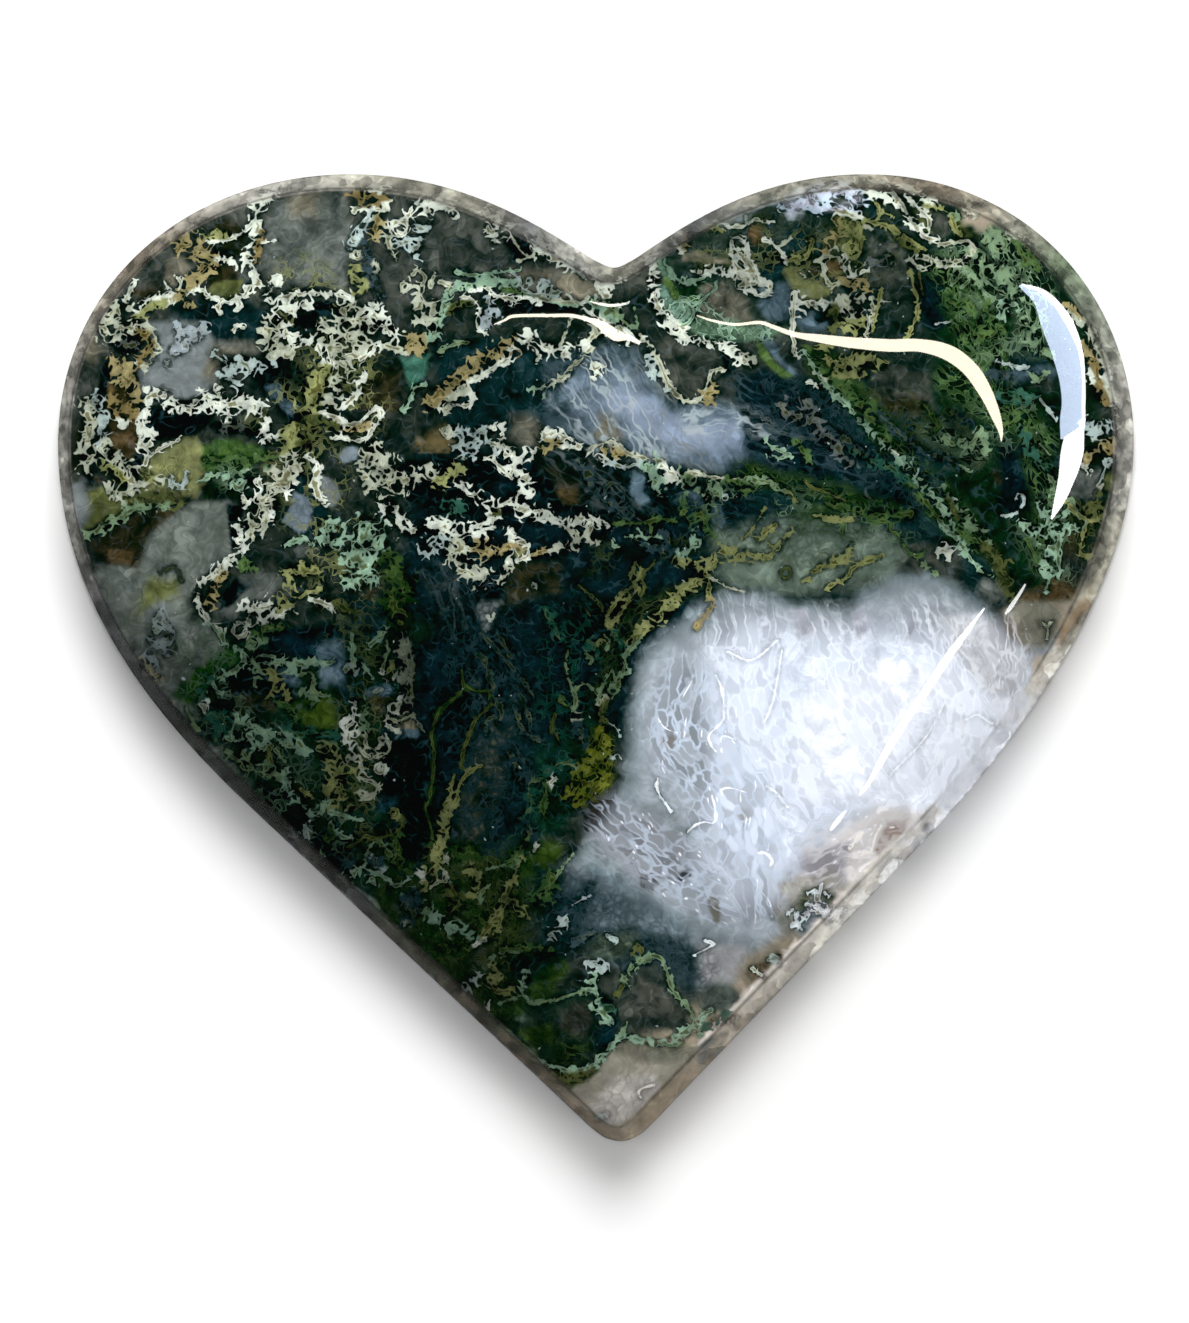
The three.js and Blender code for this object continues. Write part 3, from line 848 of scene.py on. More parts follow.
    "under the upper veil": """
cream .3 541,440,3 545,435 552,434,4 606,460,3
tan .2 541,450,4 548,443 560,440,3
bone 590,448,1.5 613,442,2 632,455 665,461,1
tan .3 605,450,4 625,455,3
frost .2 607,462,2 625,467 640,462,1.5
mint 654,453,1 657,460,1.2 656,468
mint .25 645,466,4 652,470,5 658,488,3 665,494,2
cream .4 660,465,4 674,475,3 677,480,2
sage .1 682,470,3 688,478,5 694,484,4
bone 677,472,1 690,472,1.5 710,477 748,480
sage .2 710,482,5 715,492 720,498,3
leaf .2 726,480,4 748,484,3
frost ring 725,498,3,1.2
steel 578,460,3 586,470,4 592,485 600,495,3 612,505 625,510,4 632,518,3
steel 603,497,1.5 607,486 616,483 625,492 620,503 610,505
cream .3 522,455,3 530,455,4 538,450,3
cream .45 511,452,5 513,464 519,474,4 527,480 529,490,3 512,502,4 519,508,5 530,511
538,515,4 545,512,3
cream .2 545,514,2 550,518 566,524,3 585,520,5 608,526,2
bone .1 575,530,3 578,538 575,546 565,546 548,551,2
bone 591,528,2.5 587,538,2 592,542 600,541,1.5
bone 566,528,1.5 572,534,2
leaf .1 610,524,1.2 642,523,2 660,519,2.5 677,522,1.5
leaf 650,522,1.2 652,537,1
mint 625,537,.8 661,537,1
mint 638,529,.8 650,545,.6
cream .3 510,530,3 514,545 510,560,5
cream 512,545,2.5 520,542 528,547,2 527,557 516,560
tan 532,555,2 546,550
mint 612,540,1 614,546,1.2 620,547,1
steel 640,545,2 655,548,3.5 668,553,3
steel 660,530,2 668,540,3.5 672,550
mint .1 680,552,3 688,549,4 701,540,2
leaf .4 684,508,5 690,518 700,515,4 706,524 708,531,3
straw .35 676,560,2 695,565,3 700,571,4 697,580,5 672,598 668,607
660,614,4 633,640
straw .35 705,570,2 718,558,4 728,553,5 750,557
straw 706,570,1.5 709,580 709,590,3 707,600,2
tan .1 708,598,2.5 711,607,2 696,627,3
bone 710,578,1 730,588 745,592,.8
straw 635,561,1 630,577,1.2 634,585,1.5 622,594 612,608
607,617,2 609,625 614,622 638,588,1.5
straw 635,561,.8 640,570,1 638,578 632,583
straw 626,589,1 630,596,1.2 623,600,1
olive 655,560,.8 650,568,1 643,573,1.2 642,580,1 645,586 641,597,.8
slate 578,585,1.5 596,600,2.2 603,610
slate 580,600,1 590,616
teal 545,607,1.5 550,618,3.5 560,640,2.5
frost ring 534,586,2.5,1
""",
    "upper right lobe": """
frost 746,222,1 747,213,1.5 755,206,1.8 765,201,2 778,199,2.5
quartz .1 783,203,3 795,206,4 805,203 812,195,5 835,188,7 848,190 857,196,6 859,204,5
quartz 810,203,3 818,209,3.5 848,208,3 858,205
cream 747,225,1 755,219,1.5 765,223,1.2 775,221,1
cream 762,240,1.2 772,243,1.5 785,258 787,265,2
bone 778,248,1.5 792,238,.8
cream .1 740,254,3 750,270,2.5 744,275,2
cream 745,250,1.5 756,272 757,283
cream .1 740,285,3 768,283,2 768,295 758,295 750,290
cream .3 795,293,2 792,330 795,343,1.5 793,352 797,358,1
cream .3 800,302,2 818,305,4 825,300,2
white 803,313,3
straw .1 787,262,2 795,258,3 800,262 807,255,2 813,240 807,240,1
cream 800,273,1.5 806,276,2
bone 818,262,2 825,257 840,258 842,268,1.5
bone 822,265,1.5 829,284,2 838,283,1.5
cream .3 837,212,3 845,212 860,219,2
tan .35 838,222,4 840,230 828,245,3 825,252
straw .45 846,224,7 855,245,6 850,254
straw 858,222,1.8 862,235 861,248,2 857,258
bone 830,250,1 836,247,1.2 839,252,1
cream .4 845,257,4 847,265,5 852,272,4
cream 862,272,2 866,270,1.5
tan .4 842,280,3 852,285 862,283 868,290,2
bone .45 845,303,5 850,313,6 858,302,4 865,298,3
bone 870,298,2 873,311,2.5 866,335,1.5
straw 881,290,1.5 872,332
straw .5 840,320,4 852,325,5 862,322,4
olive .2 830,315,3 835,310 837,323,2.5 832,330,2
bone 880,301,.8 892,302,1
lilac .4 872,262,3 880,262,4 888,256,3 892,264,2
straw .1 862,222,2 872,222 890,228 925,250
olive .1 898,238,4 920,252,3
bone 865,225,1 870,227 872,232,.8
straw 877,204,1.5 880,214 876,221
straw 884,213,1.2 893,216,.8
cream 865,193,1.5 885,197,2.5 903,208,3 918,230,3.5 925,237,2.5
932,239,2 938,239,1
cream 866,180,1 880,182,1.5 888,187,2.5 904,208,3
bone 925,238,1.5 935,243 945,244,2 965,241,1.8 972,245 976,252,1.2
cream .3 898,188,2.5 912,190,3 928,200 932,203,1.5
cream .3 905,195,2 924,214,2.5 929,222 929,231,1.5
straw 920,204,1.5 947,212,1.2 956,229,2.5 962,235,2
sage .2 950,213,3 957,217
bone .4 913,262,4 923,257 928,262,3 920,266
bone .35 930,258,2 950,263,3 968,258 972,252,2
bone 938,265,1.2 950,267,1.5 962,266,1.2
sage 965,270,2 953,283 952,275,1.5 957,268 966,268 969,280,2 963,286
straw .1 910,270,1 918,308,2 908,337
olive 919,272,1 923,295,1.2
frost 936,323,1 950,322
bone .4 968,200,3 968,210 975,215,2
straw .5 820,350,4 840,364,6 860,358 880,365,4
straw .45 835,375,4 855,370 865,375,3
mint .15 803,350,1.5 820,378,2 840,400,3 848,405
cream 806,382,1.5 812,383 818,388,1
cream 812,372,1 828,380,.8
bone .3 740,352,3 753,362 750,366
leaf .3 825,372,4 866,410,5
""",
    "right middle": """
sage .3 738,479,3 760,480 778,487 786,492,1.5
leaf .1 743,491,3 755,488
straw 785,490,1 792,494,1.5 795,500 800,503,1.2
olive 805,482,1 812,487,1.5 845,500,.8
mint .1 765,440,1.5 772,447,2 790,455,1.5
mint 768,457,1.5 778,458,2 788,456,1.5
leaf .3 795,440,3 810,460,2
steel .1 765,425,1.5 775,431,2 815,440,2.5
lilac .1 780,403,3 790,415,4 814,422,5 820,432 832,442 850,462,3
lilac 800,398,3 808,405,3.5 815,416,4
steel .1 830,430,3 860,450,4 870,458,3
mint .2 850,408,2 866,428,2.5
leaf .3 860,405,3 888,441,3.5 895,448,2
mint .2 866,425,2 931,494,4
938,504,4 956,532,3
white .1 888,447,1.5 898,455
teal .1 850,448,2.5 882,465,3.5 893,468,4 910,482,3
leaf .1 908,482,2 916,489,2.5 939,520
mint .2 938,520,2.5 957,539,3 973,563,1.5 982,572 992,576,1
sage .25 944,490,2 976,530,4 984,536 989,542,2
olive .2 946,498,3 955,508 960,518,2.5
leaf .1 955,528,2 965,536,3 983,545,2
white .3 955,500,2.5 952,505,2
steel .1 880,415,1.5 920,450,3.5 950,460,3 962,470,2
sage .2 945,437,2 955,445 965,446,2.5 975,440,3 980,430,2.5
sage 945,458,1.5 970,470,1
moss 925,405,2.5 937,425 932,432,2
steel 866,484,1.2 866,494,1.5 872,499,1
straw .2 815,515,1.5 840,520,2.5 852,518,1.5
leaf .2 838,504,2 870,516,3 880,514,2.5 907,515,4 912,512,2
leaf 826,503,1.5 845,512
leaf 844,522,.8 842,536
leaf 868,520,1.5 889,522 890,530,1.2 898,535 903,545,1.5 910,552,2 918,556 925,551,1
sage .1 922,563,2.5 937,574,1
straw 742,539,1.2 750,532,1.5 765,508,1.2
straw .1 755,536,1.2 759,541,1.8 764,533,2.5 776,524,1.5
straw .3 738,556,4 748,555 768,558,2.5 775,552,2 792,529,1.2
straw 768,543,1.2 772,547 778,545,1
olive ring 786,573,5,1.3
straw .2 804,580,2 810,578 815,571 829,563,3.5 838,562,4.5 845,558,3.5 852,543,1
straw .15 828,588,2 848,576,2.2 853,568 880,556
cream 940,553,2 947,549,4 949,555,2
""",
    "right cheek": """
sage .1 966,250,2 972,262,2.5 971,274 993,300
sage 972,262,1.5 978,250,1.8 984,255 981,268 984,279 1000,291,1.5
sage .2 985,243,2.5 990,234 1000,236 1006,245 998,250 991,244,2
sage .25 985,262,3 992,267,4 1003,270 1012,268,3.5 1018,278,4
sage .3 999,280,4 1008,278 1016,286,5 1012,294,4 1003,293
leaf .2 1010,235,2 1018,245,3 1027,265,2.5
leaf .2 1021,240,2 1034,262,3 1037,272,2.5
mint .2 1003,300,3 1000,310 1003,317,3.5 1008,308,2.5 1015,304
leaf .2 990,300,2 986,310 990,318,2.5 976,331,3 985,337,5 1000,328,2.5 1005,333,2
leaf .3 950,300,2.5 958,305,3 965,300,2.5 972,309 976,320,2
leaf .3 953,320,2 965,341,3
sage .3 1025,322,2 1030,330,3 1028,339 1050,354 1056,361,2
frost 995,361,1 1022,368,1.8 1030,366,1.2
steel .2 990,376,3 998,373,4 1008,376,3
sage .3 1033,374,2.5 1038,380 1045,372,2
teal .1 998,394,1.5 1008,393,2.5 1018,397,4 1028,400,3 1038,396,1.5
teal .1 1022,389,1.5 1018,397,3 1012,402,2.5 1003,402,1.5
leaf 1012,402,1.2 1013,410,1.8 1018,415 1012,422,1.2 1002,425,.8
leaf 1025,410,1 1030,420,1.2 1026,430
frost 1040,399,1.2 1056,420,.8
tan .1 1066,305,1.5 1080,317,2
bone .2 1068,310,1 1086,326,2 1092,335,3 1109,371
amber .2 1095,360,2.5 1100,385,4 1108,402,3
cream .3 1090,374,3.5 1096,379 1103,373,2.5 1108,378
bone .2 1105,385,2.5 1110,392,3 1122,428
frost .4 1088,426,4 1098,430,5 1107,425,4
tan .2 1086,346,3 1092,355
bone .3 1008,233,3 1015,238 1022,235 1028,241
sage .3 960,441,2.5 982,450,4 985,441,2.5
olive .2 984,545,4 1000,563,5 1013,597,2.5
frost 1015,500,.8 1018,494,1 1024,496 1024,503 1020,508,.8
frost 1001,515,.8 1010,515,1 1018,512,.8
teal .3 1022,432,2.5 1032,452,4 1047,469
sage 1040,444,1.2 1050,455,1
sage .2 1048,475,2.5 1053,482 1055,490,1.5
mint .2 1040,504,3 1049,520,4 1043,527 1035,530 1028,527,3 1022,521,1.5
mint 1050,520,3 1068,512,1.5
mint .1 1057,526,3.5 1082,528,2.5 1086,520,2
straw 1065,502,1.8 1086,520,2 1102,521,1.2
sage 1070,500,1.5 1076,508,1.8 1080,519
straw 1087,520,2 1080,550 1085,556,1.8 1092,557,1.2
mint .15 1058,530,2.5 1051,537,3 1052,546,4 1046,567,5 1049,574,2.5 1047,589,1.5
mint .1 1059,535,2.5 1058,560 1060,570,2 1058,577,1.5
leaf 1025,539,1.5 1030,545,2 1037,562,1.5
bone 1042,622,1 1047,627,1.5 1053,621,1
bone 1048,630,1 1047,640,1.2
tan .3 1084,462,4 1113,441,3
amber 1106,445,3 1110,452
cream .4 1082,465,3.5 1088,469,3
frost ring 1108,462,3.5,1.5
frost 1106,466,1.3 1100,482,1.5
bone ring 1100,485,2.5,1.2
olive .3 1098,494,3.5 1092,512,5 1100,510,4 1103,518,2.5
bone 1108,491,1.2 1118,493,1.5
bone .2 1121,503,3 1122,515,2
""",
    "left flank": """
pearl .5 150,640,3 158,645 168,640 172,648 165,655,2
pearl .4 150,655,3 160,668,2
beige .2 145,665,3 150,672,4 158,676,3
frost 155,622,1.5 157,632
pearl 160,622,2 168,625 173,633,1.5
mint 208,622,1.5 215,628,2 224,642,1.5
mint .1 222,632,1.5 225,643,2.5 235,648,2 243,655,3 243,663 236,670 226,673 216,680
teal .1 216,680,3 208,682 205,692 198,700
white 207,683,1.5 207,692
white 200,705,2 205,705,3 204,712,2
mint 213,682,2 216,690 222,695,1.5
sage .3 253,641,5 258,676,3
sage 256,676,1 254,685 257,687
mint 262,655,1.5 275,657
mint .1 265,662,2 275,664,3 285,661 297,677,2
mint .3 296,662,3 305,666 312,660,2 317,668,1.5
mint 318,664,2 335,662
straw .3 266,668,2 272,672,3 275,680 275,690 268,697,1.5
straw 280,680,2 288,700
leaf .1 279,702,2.5 292,710,3 298,719,2
sage 300,675,1.5 310,672 314,680 312,688,2 320,695 328,695,1
sage .3 303,692,3 314,698 312,706,2
mint .2 238,720,2 245,722,3 252,728 268,735 277,733 287,735 296,733,2
mint .4 226,738,2 240,740 248,735,3 262,747,4 268,745,3
mint 280,740,2 290,746,4 301,753,1
teal .1 285,729,2 300,735,3 312,732 336,736,2
mint 298,742,2.5 306,750,2 314,752,1
teal .1 207,714,3 227,719,6 224,729 218,737,4
mint 237,716,1.5 229,738
sage .1 227,750,1.5 232,757,2.5 240,762,2 245,770 252,768,3 242,750,2
sage .4 252,768,2 262,764 265,770,3 270,766,4 280,779,1.5
sage ring 268,772,5,1.5
olive .3 268,745,3 272,765,2
sage 275,750,2 286,763,1
mint 286,770,3 287,780,5 286,789,2.5 293,801,1.5
straw 300,789,1.5 312,797
mint .2 300,802,2 313,815,2.5 320,812,3 331,800
straw .45 322,748,3 330,752,4 336,760 333,770 336,780 330,790,6 335,800,4 328,808,3
frost .3 292,836,4 300,835 305,828,2
leaf .1 330,825,2 335,835 326,840,3
sage 186,708,1.5 197,731
sage 168,703,1.2 182,718,1
""",
    "dark middle": """
mint 352,636,2 353,668
frost .3 345,670,3 352,666 357,672,1.5
mint .2 370,645,2 378,639,3 384,632,2
sage 387,640,1.5 387,652,1.2 382,672,2
white 382,670,2.5 383,675,1.5 389,682,1
mint 362,663,1.5 373,678,1
frost 375,692,1.5 381,690,1.2
bone .5 405,640,4 403,650 406,668 402,676 408,684 409,695,3 405,705
bone 407,638,1.5 413,666 411,680 412,698
white 402,698,2.5 400,706,1.5
straw .2 393,664,3 389,672,2
cream ring 394,708,5,1.5
cream 388,716,2 386,722,1.5 392,729 402,732
bone 387,718,1.5 398,721 412,715 415,719,1
cream 418,724,2.5 424,731,1.5
white .1 355,702,3 354,714,4 348,732,3.5 353,752,2.5
sage .1 362,702,2.5 366,710,3 364,718,2 367,726,4 370,732,2.5
bone .5 352,755,4 348,761,3 358,762 362,770
bone .3 360,748,2.5 366,755 375,757,2 381,754,1.5
bone 366,735,2 366,745 373,750,1.5 381,745 379,737
bone 382,737,1.2 390,743,1.5 388,752 380,757,1.2
white 385,733,1 388,739,2
straw .5 328,760,5 345,769,4 355,770,3 362,768
cream ring 380,769,4,2
bone 363,780,1.5 372,780,2 377,786 374,793 366,798,3 360,795,1.5
straw .2 338,785,5 350,806,4
mint 330,812,2 362,821,1
straw ring 394,813,4,2
olive 401,818,2 402,825 395,833 375,838 365,836,2.5 358,842,1.5 349,846
mint 330,822,1.5 336,832,2 345,838 355,838,1.2
leaf .1 400,834,3 395,845 403,868
leaf 378,840,1.5 393,862,2.5
steel .1 368,858,4 376,864,5
olive 492,703,1.5 478,718 472,728,2 463,752 461,766,1.5
straw 482,765,1 472,770,2 463,779 458,790 457,800 450,809,1.5
straw .1 454,776,1.5 448,797,2
straw .3 450,795,3.5 446,806,4 442,840 438,853 438,866,3.5
bone 448,856,2 448,862
moss 440,708,1.5 432,732,2 434,756 430,796,1.5 425,808
moss 425,808,1.5 432,832 431,844
moss 462,670,1 463,682,1.5 461,692 440,709
moss 464,684,1 475,691 490,691,1.5 488,701
steel 460,633,2.5 467,645 476,651,3.5 489,669,5 491,682 500,706,4 502,720,2
steel 482,633,2.5 521,678 534,698,1.2
steel 497,633,2.5 513,660,1.5
steel 508,682,1.5 518,690,2.5 530,720 529,733,1.8
steel 514,705,2 523,730,3 538,740,2
steel 486,735,2.5 486,723 493,717,3 501,721,1.5
steel 505,748,2 512,755,3 517,768,4 520,782,2.5
steel 513,742,2.5 526,766,1.5
teal .1 572,760,2.5 550,768,3 535,785 530,795 532,806 521,819,2.5
steel .1 529,764,3.5 533,775,3 531,786,2.5
steel .1 519,818,2.5 527,823,3.5 533,840,2
leaf 545,780,2 546,794,2.5 543,808,3 545,821,1
leaf .2 526,840,2.5 521,850,3 507,866
white 551,783,2.5 556,777,1.5
white 534,851,2.5 537,845,1.5
olive 555,714,1.5 550,734,1.2
olive 557,735,1.5 560,744,1
leaf .1 560,700,2 566,705
""",
    "green edge of the quartz": """
sage 645,630,2 624,657 624,668 616,691
sage 604,635,1 610,642 606,652
mint ring 626,671,3.5,1.2
sage 612,670,1.2 600,690,1.5 598,700
sage 612,670,1.2 618,688 612,698,1.5
sage ring 613,689,4,1.5
straw 598,645,1.5 600,639 606,641
sage 577,700,1.2 576,690,1 586,684,1.2 597,695 597,702,1
bone 599,704,2 606,697
olive .1 605,700,2.5 602,710,3 603,718,2.5 608,722,1
sage 568,650,1 566,668 575,700,1.5 572,712
sage 587,655,1.5 592,660 590,664
teal .1 585,640,3 592,646,4 597,655,3
teal .1 612,633,3 618,643,3.5 620,652,2.5
bone 577,716,3
steel 578,725,3 582,735,4 584,745,3
oldgold .15 602,730,2.5 604,742,5 602,755,7 582,792,8 590,800,4
oldgold .2 596,745,2 580,772,4 566,796,3
oldgold 606,765,2.5 605,775,3 600,786 592,792,2
olive 575,790,2 584,804,1.5
olive 592,790,2 590,802,1.5
sage 560,765,1 570,764,1.2 578,770 582,778,1
frost 608,722,.8 616,728 620,736
frost 612,758,.8 618,754 622,760
""",
    "quartz lines": """
chalk 728,652,1.2 752,660,.9 778,640,1.2
chalk 716,675,.9 722,690,1.6 724,712,1.2 722,722 709,735 711,745 716,752
chalk 782,650,.9 775,692,1.2 770,710 764,722,.9
chalk 658,718,.6 665,728,.9 678,733
chalk 658,778,.7 657,790 672,812,.6
chalk 722,750,.5 722,736,.9 736,740
chalk 766,786,.7 778,794,.9 788,808,.6
chalk 720,790,.9 730,788 748,793,.7
chalk 712,795,1.2 716,815,1.6 713,823,.9 705,822 695,825,1.2 688,832
chalk 758,853,1.2 765,853,1.9 772,860 770,866,1.2
chalk 757,880,.9 762,892,.6 770,903,.7 772,918,.6
chalk 705,940,.9 713,945,1.2 694,955,.6
chalk 945,702,.4 925,738,.6 890,775,.7
chalk 965,720,.9 978,715 995,724,1.6 1020,716,.6
amber 1062,650,3 1078,628 1085,615,2
""",
    "lower right rim": """
chalk .15 802,918,2 816,908,6 835,915,5 842,912,3
chalk 808,893,1.5 815,890 817,902,2 822,884,1.5
chalk 805,904,2 812,906,3
chalk 826,922,2 832,924,1.5
chalk 798,912,1.5 796,922,2 802,930,1.5
chalk 793,925,2 796,920,1.5
chalk 787,915,1.5 793,909,1.2
chalk 825,893,1.8 829,897
white 752,968,1.5 765,978
frost .2 768,960,2 778,958,2.5 780,965,1
white 862,855,2 868,850,3.5 875,852,1.5
white 872,850,1 876,835 882,825
white 850,848,2 862,832,1.5
white .2 884,872,4 894,862,3
umber 927,828,3
bone .1 737,1017,2 738,1026,2.5 742,1033,2
""",
    "lower left moss": """
moss 393,835,2 398,848,2.5 397,860 401,870 412,872,2
sage 380,840,1.5 392,855
sage 365,860,1.5 368,850,1 374,842
mint .1 340,880,3 352,875 360,868,2.5 366,866,1.5
sage .1 345,882,5 338,885,4
mint 372,880,3 376,886,2
mint 370,870,1.5 390,880 395,886,2 408,880,1.5
frost .2 370,858,3 380,872
sage .3 318,855,3 314,862 322,866
steel .1 405,905,4 412,898,6 420,895,4 414,910,6 408,918,4
pearl 403,928,1.5 408,918 415,915
sage .1 425,900,3 428,908 424,915,2.5
mint .1 432,915,3 436,920,4 440,918,2
cream 418,874,2 428,880,1
straw .2 438,866,4 432,874 424,892,3
bone 440,865,1.5 446,880 438,882 430,888
mint .35 445,925,3 455,930,4 465,930 482,942,3
white .1 475,945,2 484,940,3
frost .2 464,990,4 476,976,3
straw 478,940,2 497,915,3 522,858,1.5
straw 495,935,1.5 500,922,2 500,908 503,895
sage 480,900,1.5 483,890 490,885,1.2
sage 505,865,1 485,870
straw .2 505,905,3 512,900,4 522,915,3
sage ring 514,864,5,1.5
moss .2 452,848,3 460,855,4 468,850 478,855,3
moss .2 470,905,4 484,925
sage 490,957,1.5 505,952,2 520,950,3
cream 490,1000,2 488,1006
sage 500,1003,1 520,996,1.5
straw .2 495,965,2 497,975,3 490,985 500,992 512,990
moss .2 440,945,3 450,950,4 460,945 470,950,3
olive .3 450,890,4 456,900,5 450,912,4
straw .3 470,870,3 478,880 474,895
""",
    "lower middle": """
sage 695,1022,1.5 690,1010 673,990,2 666,968,1.5 660,958,2 652,955,2.5
sage 652,955,2.5 648,960,3.5 638,962,2.5 628,972 624,978 627,985
olive 634,952,2.5 638,945,3 642,952,2
olive 615,995,1.5 624,984,2
mint .1 700,1035,1.5 697,1025,3 703,1015 710,1010,2.5 713,1012,1.5
mint .1 697,1025,4 672,1040,3 660,1043,2.5 640,1040,2
mint 640,1040,2 632,1038,2.5 617,1040 597,1062,3 590,1066,2.5
mint 590,1066,2.5 580,1070,2 565,1070 537,1061
teal .1 702,1028,2 725,1018,4 728,1020,2
sage 622,1038,1.5 626,1022,1
sage 665,1045,1 675,1046 683,1042
mint .1 592,1005,1.5 594,1010,2 602,1012,3.5 612,1022,2
teal 603,1003,3 608,1010,4 612,1005,3 614,1015,2
mint 600,1023,1.2 606,1022,1.5
mint .1 597,976,1.5 588,988,3 594,990,2.5 598,995 596,1003,2
sage ring 583,992,3,1.2
sage 578,992,1.2 555,1000 535,1003 527,1002,1
frost .1 592,965,3 600,966,4 604,970,2.5
frost .2 549,932,3 553,938
frost .1 555,930,2 562,925,4 566,920,3
frost 607,935,2.5 613,939,2
leaf .2 535,900,3 543,895,6 550,885,5 553,875,3
sage 555,878,1.5 572,855,1
leaf .1 500,950,2 530,948,4 553,952,1.5
mint .1 527,973,2 523,988,3.5 526,995,2.5
olive .2 545,1075,3 560,1078,4 580,1075 592,1070,3
steel .2 575,940,3 595,932,2
pearl 572,905,.8 590,895
""",
    "tip": """
white 653,1085,1 641,1089,1.5 639,1094 641,1098,1
frost .3 598,1118,2 606,1115,3
""",
}

GAPS = """
725,487,4 752,486,3.5 687,550,2.5 684,583,2 672,594,2.5 690,571,3.5 722,300,2.5 728,305,2.5 733,302,2
725,296,1.5 731,312,2 727,318,1.5 708,305,1.5 788,197,5 800,193,3 822,203,4 842,199,4 850,200,3 850,293,3.5
853,303,3 258,737,3.5
"""

# %% [markdown]
# Last the masses that a single stroke can't give: mossy strands, light veils,
# crusts of fine lace and the quartz crystals. Each is a kind, a colour, a
# weight, and a wide course that also tells which way the grain runs.

# %% Fibres
FIBRES = """
veil pearl .9 600,370,30 625,410,35 650,450,30
veil pearl .9 560,390,25 600,440,20
veil pearl 1 690,425,25 730,420,25 770,430,20
veil lilac .8 640,360,20 670,420,30 700,460,25
veil lilac .5 560,460,25 600,490,25 640,515,20
veil steel .8 745,390,30 800,420,35 860,460,30
veil steel .8 740,440,25 800,460,25 870,480,25
veil steel .7 740,510,25 800,520,20
veil steel .6 660,500,20 700,530,20
veil lilac .55 440,575,25 475,640,35 510,720,40
veil slate .6 560,600,40 620,560,40 680,540,30
moss leaf .9 950,270,30 975,320,35 990,380,30
moss sage .8 1000,240,25 1030,290,30 1030,340,25
moss leaf .7 950,380,25 1000,410,25 1040,440,25
moss leaf 1 815,355,15 850,392,20 880,425,22 915,470,24 950,515,24 980,545,18
moss olive .6 990,550,14 1010,590,10
moss moss .8 745,470,14 800,485,16 860,500,16 900,515,12
moss moss .6 800,520,20 860,530,20
moss leaf .8 1030,440,20 1045,500,20 1045,560,20
moss sage .6 930,430,20 970,450,25
moss olive .6 1080,510,18 1085,550,16
crust straw 0.5 300,290,50 330,340,50 360,400,50
crust straw 0.5 280,420,50 320,500,55 350,590,50
crust sage 0.4 200,650,50 260,760,55 330,830,50
crust straw 0.4 360,640,45 370,740,50 350,820,40
crust olive 0.6 430,850,40 480,900,55 500,950,50
crust olive 0.5 400,890,40 440,950,40 500,1000,40
crust straw 0.4 720,240,50 800,260,45 870,250,40
crust olive 0.4 830,370,30 900,400,40 960,450,40
crust sage 0.4 960,260,40 1000,330,45 1010,420,45
crust sage 0.4 1040,520,40 1060,570,30
crust olive 0.4 600,560,30 700,530,30 780,540,30 860,560,20
moss oldgold .8 600,740,20 592,780,26
moss olive .9 490,870,40 500,920,45 470,950,40
moss moss .9 420,900,35 450,950,35 500,1000,35
moss leaf .7 540,885,20 555,875,12
moss moss .5 530,1040,25 570,1050,25
moss olive .5 700,590,12 660,600,16 620,640,20 605,690,18
veil steel .9 480,640,35 505,690,35 520,740,35 520,800,30
veil steel .6 580,900,35 640,930,30 690,960,25
veil pearl .5 600,850,30 640,880,25
veil steel .5 540,700,25 550,760,25
crust steel .8 470,600,60 490,700,70 490,820,60
crust teal .6 570,620,40 560,700,45 550,790,45
crust slate .8 400,640,30 400,760,30 410,860,30
crust steel .7 770,400,40 850,430,45 930,500,40
crust sage .5 700,500,30 800,510,30 900,530,30
crust steel .6 560,900,50 640,940,40 700,970,30
crust straw .7 175,468,24
crust mint .8 675,300,28 720,328,20 770,333,15
crust sage .7 235,470,30
crystal #b9c6d8 1 690,690,50 690,740,60 730,800,60 750,880,55
crystal #aab6c6 .9 610,820,35 660,860,45 720,890,45
crystal #e3eaf6 .55 745,640,60 760,720,70 800,790,60 850,840,45
crystal #f1f5fc .5 830,640,50 860,700,65 900,770,60
crystal #f1f5fc .5 930,630,50 960,700,60 950,780,50
crystal #e9ecf2 .6 1000,640,35 1010,700,40
crystal #c9c9cc .8 830,850,50 890,820,40
crystal taupe .35 640,1070,30 620,1110,35
"""

# %% [markdown]
# Where the drawn things lie deeper in the stone, less light comes back from
# them. These wide places say how much is left, with a softness and corners.

# %% Deep places
DEEP = """
.4 30 120,610 420,600 440,700 430,860 560,840 560,1060 420,1100 230,900
.4 25 400,600 640,560 640,640 590,840 440,860 400,720
.65 25 430,190 600,230 640,330 560,320 440,270
.5 25 640,230 760,190 900,230 940,300 780,330 660,300
.6 25 740,330 880,345 960,400 1010,540 940,560 840,470 760,400
.6 20 540,460 680,475 900,500 960,570 800,580 640,600 540,540
.6 20 350,590 420,560 420,700 340,700
.75 20 420,330 560,330 560,440 420,470
.8 20 330,460 420,460 430,560 340,560
"""
